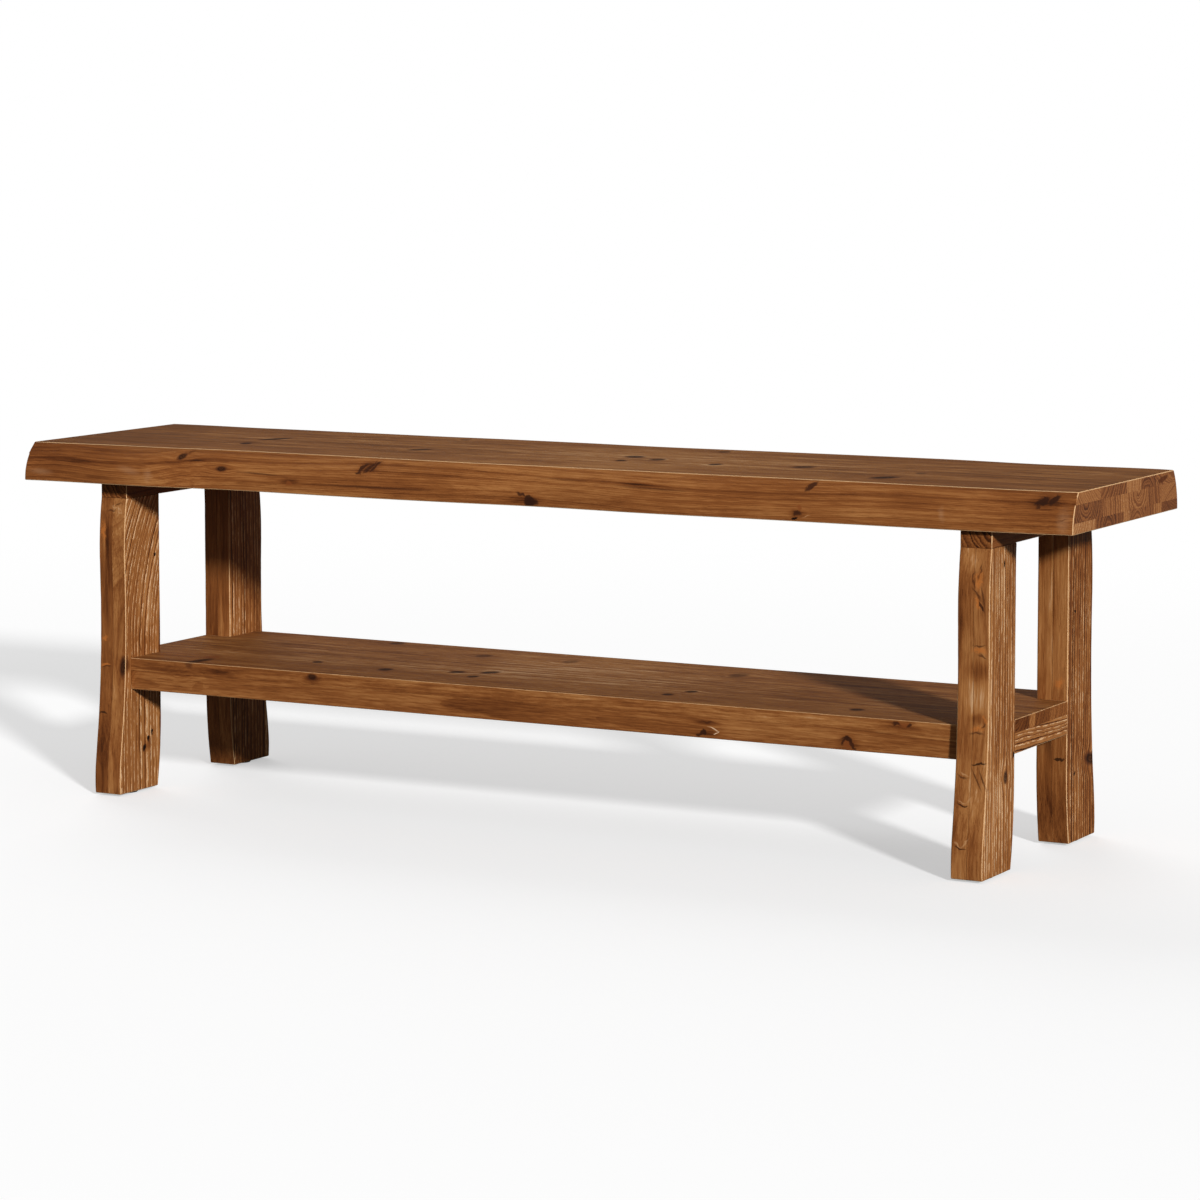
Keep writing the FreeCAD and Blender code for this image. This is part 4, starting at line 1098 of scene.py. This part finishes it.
    def worn_copy(self, node: str, wear: Wear) -> bpy.types.Object:
        """Copies a packed board and eases its open arrises.

        Args:
            node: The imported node's name.
            wear: How its edges are worn.

        Returns:
            The new piece, which stands for the node.
        """
        near = self._neighbours(node)
        bm = bmesh.new()
        bm.from_mesh(self.nodes[node].data)
        bmesh.ops.remove_doubles(bm, verts=bm.verts, dist=self.MERGE)
        bmesh.ops.dissolve_limit(bm, angle_limit=self.FLAT, verts=bm.verts, edges=bm.edges)
        for layer in (self.WEAR, self.SEAM):
            bm.verts.layers.float.new(layer)
        for edge in self._corners(bm):
            cuts = int(edge.calc_length() / self.STEP)
            if cuts:
                bmesh.ops.bisect_edges(bm, edges=[edge], cuts=cuts)
        strips = self._wear_arrises(bm, near, wear)
        if wear.seam:
            dark = bm.verts.layers.float[self.SEAM]
            joints = [e for e in self._wearing(bm, near, wear, 1) if not strips & set(e.link_faces)]
            for vert in self._ease(bm, joints, wear.seam, 1)["verts"]:
                if self._covered(vert.co, near, self.TOUCH):
                    vert[dark] = 1.0
        for face in bm.faces:
            face.smooth = True
        for edge in self._corners(bm, turn=self.CREASE):
            edge.smooth = False
        mesh = bpy.data.meshes.new("worn_" + node)
        bm.to_mesh(mesh)
        bm.free()
        piece = bpy.data.objects.new("worn_" + node, mesh)
        bpy.context.scene.collection.objects.link(piece)
        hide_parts(node)
        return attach(piece, BODY)


@dataclass
class Assembly:
    """A sub-assembly of boards that share the way they are worn; the slot it keeps is not given to them."""

    timber: Timber
    effects: Effects
    slot: str = ""
    wear: Wear = Wear()

    def board(self, node: str, finish: WoodFinish, slot: str = "", wear: Wear | None = None) -> None:
        """Makes one worn, finished board and reports it."""
        piece = self.timber.worn_copy(node, wear or self.wear)
        piece.data.materials.append(finish.make(self.effects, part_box(node)))
        slot or self.slot
        LOG.info("%s stands for %s, %d faces", piece.name, node, len(piece.data.polygons))


@dataclass(frozen=True)
class Stave:
    """What is a stave's own: its tone, and its sawn end's tone, pith, ring width and contrast."""

    tone: float
    end_tone: float
    end_heart: tuple[float, float]
    end_ring: float
    end_line: float


@dataclass
class Seat(Assembly):
    """The seat: three glued layers of staves with live edges front and back."""

    slot: str = "seat_wood"
    wear: Wear = Wear(arris=1.3, contact=3.0)
    lift: float = 0.04
    layers: dict[str, tuple[Stave, ...]] = field(default_factory=lambda: {
        "upper": (
            Stave(0.52, 0.66, (-20.0, 560.0), 3.9, 0.27),
            Stave(0.47, 0.50, (-100.0, 500.0), 6.9, 0.41),
            Stave(0.52, 0.72, (-180.0, 460.0), 5.8, 0.27),
            Stave(0.49, 0.44, (78.0, 432.0), 4.6, 0.37),
            Stave(0.50, 0.56, (190.0, 560.0), 4.6, 0.34),
        ),
        "core": (
            Stave(0.50, 0.48, (-117.0, 445.0), 4.8, 0.44),
            Stave(0.50, 0.60, (-330.0, 400.0), 7.5, 0.34),
            Stave(0.50, 0.70, (-240.0, 400.0), 6.9, 0.34),
            Stave(0.50, 0.62, (51.0, 444.0), 5.1, 0.44),
            Stave(0.50, 0.52, (380.0, 500.0), 8.0, 0.31),
            Stave(0.50, 0.62, (205.0, 340.0), 3.0, 0.27),
        ),
        "lower": (
            Stave(0.50, 0.76, (-160.0, 428.0), 5.3, 0.27),
            Stave(0.50, 0.44, (-47.0, 408.0), 5.3, 0.41),
            Stave(0.50, 0.72, (-150.0, 420.0), 4.6, 0.41),
            Stave(0.50, 0.52, (46.0, 402.0), 4.8, 0.37),
            Stave(0.50, 0.50, (300.0, 450.0), 5.8, 0.27),
            Stave(0.50, 0.66, (330.0, 420.0), 4.6, 0.34),
            Stave(0.50, 0.36, (180.0, 450.0), 3.9, 0.24),
        ),
    })

    def build(self) -> None:
        """Makes the staves, layer by layer from the front."""
        for layer, staves in self.layers.items():
            for number, stave in enumerate(staves, 1):
                if number in (1, len(staves)):
                    side = -1 if number == 1 else 1
                    look = {"seed": 1.0 if number == 1 else 2.0, "heart": (side * 120.0, 300.0), "ring": 6.2,
                            "sway": 14.0, "wobble": 0.3, "line": 0.24, "streak": 0.04, "band": 0.06,
                            "fine": 0.08, "cloud": 0.05}
                else:
                    look = {"seed": 3.0 + 1.7 * number + len(layer), "heart": (30.0 * number - 90.0, 380.0),
                            "sway": 9.0, "line": 0.12, "streak": 0.16, "fine": 0.18, "dash": 0.05}
                node = f"seat_{layer}_stave_{number}"
                self.board(node, WoodFinish(
                    node, Run.ALONG, tone=stave.tone + self.lift, end_tone=stave.end_tone + self.lift,
                    painted_top_sheen=0.12, end_dry=0.10, end_heart=stave.end_heart, end_ring=stave.end_ring,
                    end_line=stave.end_line, **look))


@dataclass
class EndFrames(Assembly):
    """The two end frames: four legs of two boards each, upper rails and lower rails."""

    slot: str = "leg_wood"
    wear: Wear = Wear(arris=1.3, bite=0.3, seam=0.35)
    rail_wear: Wear = Wear(arris=1.3, bite=0.3, seam=0.35, shortest=4.0)
    tones: dict[str, tuple[float, float]] = field(default_factory=lambda: {
        "front_left": (0.52, 0.66), "front_right": (0.63, 0.62),
        "back_left": (0.42, 0.55), "back_right": (0.47, 0.59)})
    bows: dict[str, float] = field(default_factory=lambda: {"front_left_leg_inner_board": 1.6})

    def build(self) -> None:
        """Makes the legs, then the rails."""
        for number, (corner, tones) in enumerate(self.tones.items()):
            for side, tone in zip(("outer", "inner"), tones):
                node = f"{corner}_leg_{side}_board"
                low, high = (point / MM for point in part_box(node))
                # The pith lies well outside the board, so the rings run nearly straight up its faces
                across = low.y - 90.0 if number % 2 else high.y + 70.0
                self.board(node, WoodFinish(
                    node, Run.UPRIGHT, 21.0 + 3.3 * number + (1.4 if side == "outer" else 0.0), tone,
                    heart=(across, -(low.x + high.x) / 2 - 55.0), ring=7.5, sway=12.0, wobble=2.0, uneven=0.9,
                    line=0.11, streak=0.06, band=0.06, fine=0.10, cloud=0.09, brush=1.0, end_tone=0.3,
                    wear=0.85, bow=self.bows.get(node, 0.0)))
        for number, side in enumerate(("left", "right")):
            for level, tone, brush in (("upper", 0.52, 0.0), ("lower", 0.66, 1.0)):
                node = f"{side}_{level}_rail"
                low, high = (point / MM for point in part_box(node))
                look = WoodFinish(
                    node, Run.ACROSS, 41.0 + 2.9 * number + len(level) + brush, tone,
                    heart=(-(low.x + high.x) / 2, low.z - 30.0), ring=5.4, sway=12.0 + 16.0 * brush,
                    wobble=3.0, uneven=0.6, line=0.18, brush=brush, end_tone=0.50,
                    end_heart=(-high.x - 20.0, high.z + 15.0), end_ring=6.0, end_line=0.42)
                self.board(node, look, "rail_wood", self.rail_wear)


@dataclass
class ShoeShelf(Assembly):
    """The shelf: a panel of seven staves and the strips that thicken its edges."""

    slot: str = "shelf_wood"
    wear: Wear = Wear(arris=1.0)
    strip_wear: Wear = Wear(arris=1.0, seam=0.3)
    tones: tuple[float, ...] = (0.57, 0.58, 0.62, 0.56, 0.60, 0.56, 0.57)
    end_tones: tuple[float, ...] = (0.45, 0.36, 0.70, 0.44, 0.58, 0.54, 0.36)

    def build(self) -> None:
        """Makes the staves from the front, then the two strips."""
        for number, (tone, end_tone) in enumerate(zip(self.tones, self.end_tones), 1):
            node = f"shelf_stave_{number}"
            low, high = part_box(node)
            middle = (low.y + high.y) / 2 / MM
            rough = 0.11 if number in (1, len(self.tones)) else 0.18
            self.board(node, WoodFinish(
                node, Run.ALONG, 60.0 + 2.3 * number, tone, heart=(middle, 120.0), ring=4.6, sway=9.0,
                line=0.12, streak=rough, band=0.05, fine=rough, cloud=0.05, dash=0.05, end_tone=end_tone,
                end_heart=(middle - 10.0 * number, 190.0), end_ring=4.8, wear=0.7, painted_top_sheen=0.07))
        for number, side in enumerate(("front", "back")):
            node = f"shelf_{side}_strip"
            look = WoodFinish(
                node, Run.ALONG, 83.0 + 3.1 * number, 0.60, heart=(-60.0, 150.0), ring=3.4, sway=6.0,
                wobble=0.3, line=0.22, fine=0.12, cloud=0.02, end_heart=(-130.0, 190.0), wear=0.6)
            self.board(node, look, wear=self.strip_wear)


@dataclass
class Fittings:
    """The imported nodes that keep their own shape: glides, dowels and bolts."""

    nodes: dict[str, bpy.types.Object]
    finishes: dict[str, PlainFinish] = field(default_factory=lambda: {
        "glide_nails": PlainFinish("nail_steel", (0.50, 0.50, 0.50), (0.30, 0.30, 0.31), 1.0, 0.35),
        "glide": PlainFinish("glide_plastic", (0.014, 0.013, 0.013), (0.030, 0.028, 0.027), 0.0, 0.5),
        "dowels": PlainFinish("dowel_beech", (0.52, 0.36, 0.21), (0.42, 0.27, 0.15), 0.0, 0.6, 400.0),
        "washers": PlainFinish("zinc_washer", (0.62, 0.63, 0.64), (0.48, 0.49, 0.52), 1.0, 0.3),
        "bolts": PlainFinish("zinc_bolt", (0.60, 0.61, 0.63), (0.44, 0.46, 0.50), 1.0, 0.32),
        "inserts": PlainFinish("insert_metal", (0.55, 0.42, 0.22), (0.46, 0.34, 0.17), 1.0, 0.38),
    })

    def dress(self) -> None:
        """Gives each fitting its finish."""
        made = {key: finish.make() for key, finish in self.finishes.items()}
        for name, piece in self.nodes.items():
            key = next((k for k in made if name.endswith(k)), None)
            if key is None:
                continue
            piece.data.materials.clear()
            piece.data.materials.append(made[key])
            LOG.info("%s keeps its shape, finish %s", name, made[key].name)


# Studio


@dataclass
class Studio:
    """The pale floor, the soft lights and the camera."""

    camera_at: Triple = (2.4114, -4.3922, 0.9103)
    camera_turn: Triple = (math.pi / 2 - 0.0904, 0.0003, 0.4972)
    focal_pixels: float = 4003.2
    frame_pixels: float = 1200.0
    sensor: float = 36.0
    shift: float = -0.12
    key_way: Triple = (0.728, -0.601, 0.331)
    key_spread: float = 5.0
    key_power: float = 3.8
    fill_way: Triple = (-0.6, 0.6, 0.53)
    fill_spread: float = 40.0
    fill_power: float = 0.9
    sky: float = 0.24
    sky_gloss: float = 0.15
    floor_half: float = 9.0
    floor_bounce: Colour = (0.18, 0.18, 0.18)
    floor_seen: Colour = (0.62, 0.62, 0.62)
    floor_glow: float = 0.48
    white_shape: Triple = (0.8, 1.0, 0.0)
    white_from: float = 1.1
    white_to: float = 3.2

    WHITE = (1.0, 1.0, 1.0, 1.0)

    def build(self) -> None:
        """Sets the whole studio up."""
        self._camera()
        self._floor()
        self._lamps()
        self._world()
        bpy.context.scene.view_settings.view_transform = "Standard"

    def _link(self, name: str, data: bpy.types.ID) -> bpy.types.Object:
        """Puts new data in the scene."""
        thing = bpy.data.objects.new(name, data)
        bpy.context.scene.collection.objects.link(thing)
        return thing

    def _camera(self) -> None:
        """Places the camera where the reference view was taken."""
        data = bpy.data.cameras.new("camera")
        data.sensor_fit = "HORIZONTAL"
        data.sensor_width = self.sensor
        data.lens = self.focal_pixels / self.frame_pixels * self.sensor
        data.shift_y = self.shift
        camera = self._link("camera", data)
        camera.location = self.camera_at
        camera.rotation_euler = self.camera_turn
        bpy.context.scene.camera = camera

    def _floor(self) -> None:
        """Lays a pale floor that keeps the bench's shadow and turns white far from it."""
        bm = bmesh.new()
        bmesh.ops.create_grid(bm, x_segments=1, y_segments=1, size=self.floor_half)
        mesh = bpy.data.meshes.new("floor")
        bm.to_mesh(mesh)
        bm.free()
        floor = self._link("floor", mesh)
        material, w, shader = Wiring.material("floor_pale")
        w.tree.nodes.remove(shader)
        bounce, lit = (w.add("BsdfDiffuse", {"Color": opaque(colour)}).outputs[0]
                       for colour in (self.floor_bounce, self.floor_seen))
        glow, white = (w.add("Emission", {"Color": self.WHITE, "Strength": strength}).outputs[0]
                       for strength in (self.floor_glow, 1.0))
        seen = w.add("AddShader", {0: lit, 1: glow}).outputs[0]
        here = w.add("TexCoord").outputs["Object"]
        far = w.vector("LENGTH", w.vector("MULTIPLY", here, self.white_shape))
        share = w.ease(far, self.white_from, self.white_to)
        shown = w.add("MixShader", {0: share, 1: seen, 2: white}).outputs[0]
        camera = w.add("LightPath").outputs["Is Camera Ray"]
        both = w.add("MixShader", {0: camera, 1: bounce, 2: shown}).outputs[0]
        w.feed(w.tree.nodes["Material Output"].inputs["Surface"], both)
        mesh.materials.append(material)

    def _lamps(self) -> None:
        """Sets the low key light to the right in front, and a weak soft fill behind on the left."""
        for name, way, spread, power in (("key", self.key_way, self.key_spread, self.key_power),
                                         ("fill", self.fill_way, self.fill_spread, self.fill_power)):
            data = bpy.data.lights.new(name, "SUN")
            data.angle = math.radians(spread)
            data.energy = power
            lamp = self._link(name, data)
            lamp.rotation_euler = Vector(way).to_track_quat("Z", "Y").to_euler()
            lamp.visible_glossy = False

    def _world(self) -> None:
        """Lights the studio evenly, and shows white to the camera."""
        world = bpy.data.worlds.new("studio")
        bpy.context.scene.world = world
        world.use_nodes = True
        w = Wiring(world.node_tree)
        path = w.add("LightPath").outputs
        background = w.tree.nodes["Background"]
        background.inputs["Color"].default_value = self.WHITE
        seen = w.value("MAXIMUM", path["Is Camera Ray"], path["Is Transmission Ray"])
        glossy = path["Is Glossy Ray"]
        strength = w.total(self.sky, (glossy, self.sky_gloss - self.sky), (seen, 1.0 - self.sky))
        w.feed(background.inputs["Strength"], strength)


def main() -> None:
    """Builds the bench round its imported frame."""
    logging.basicConfig(level=logging.INFO, format="%(name)s: %(message)s")
    Studio().build()
    timber, effects = Timber(frame["nodes"]), Effects()
    for assembly in (Seat(timber, effects), EndFrames(timber, effects), ShoeShelf(timber, effects)):
        assembly.build()
    Fittings(frame["nodes"]).dress()


if __name__ == "__main__":
    main()
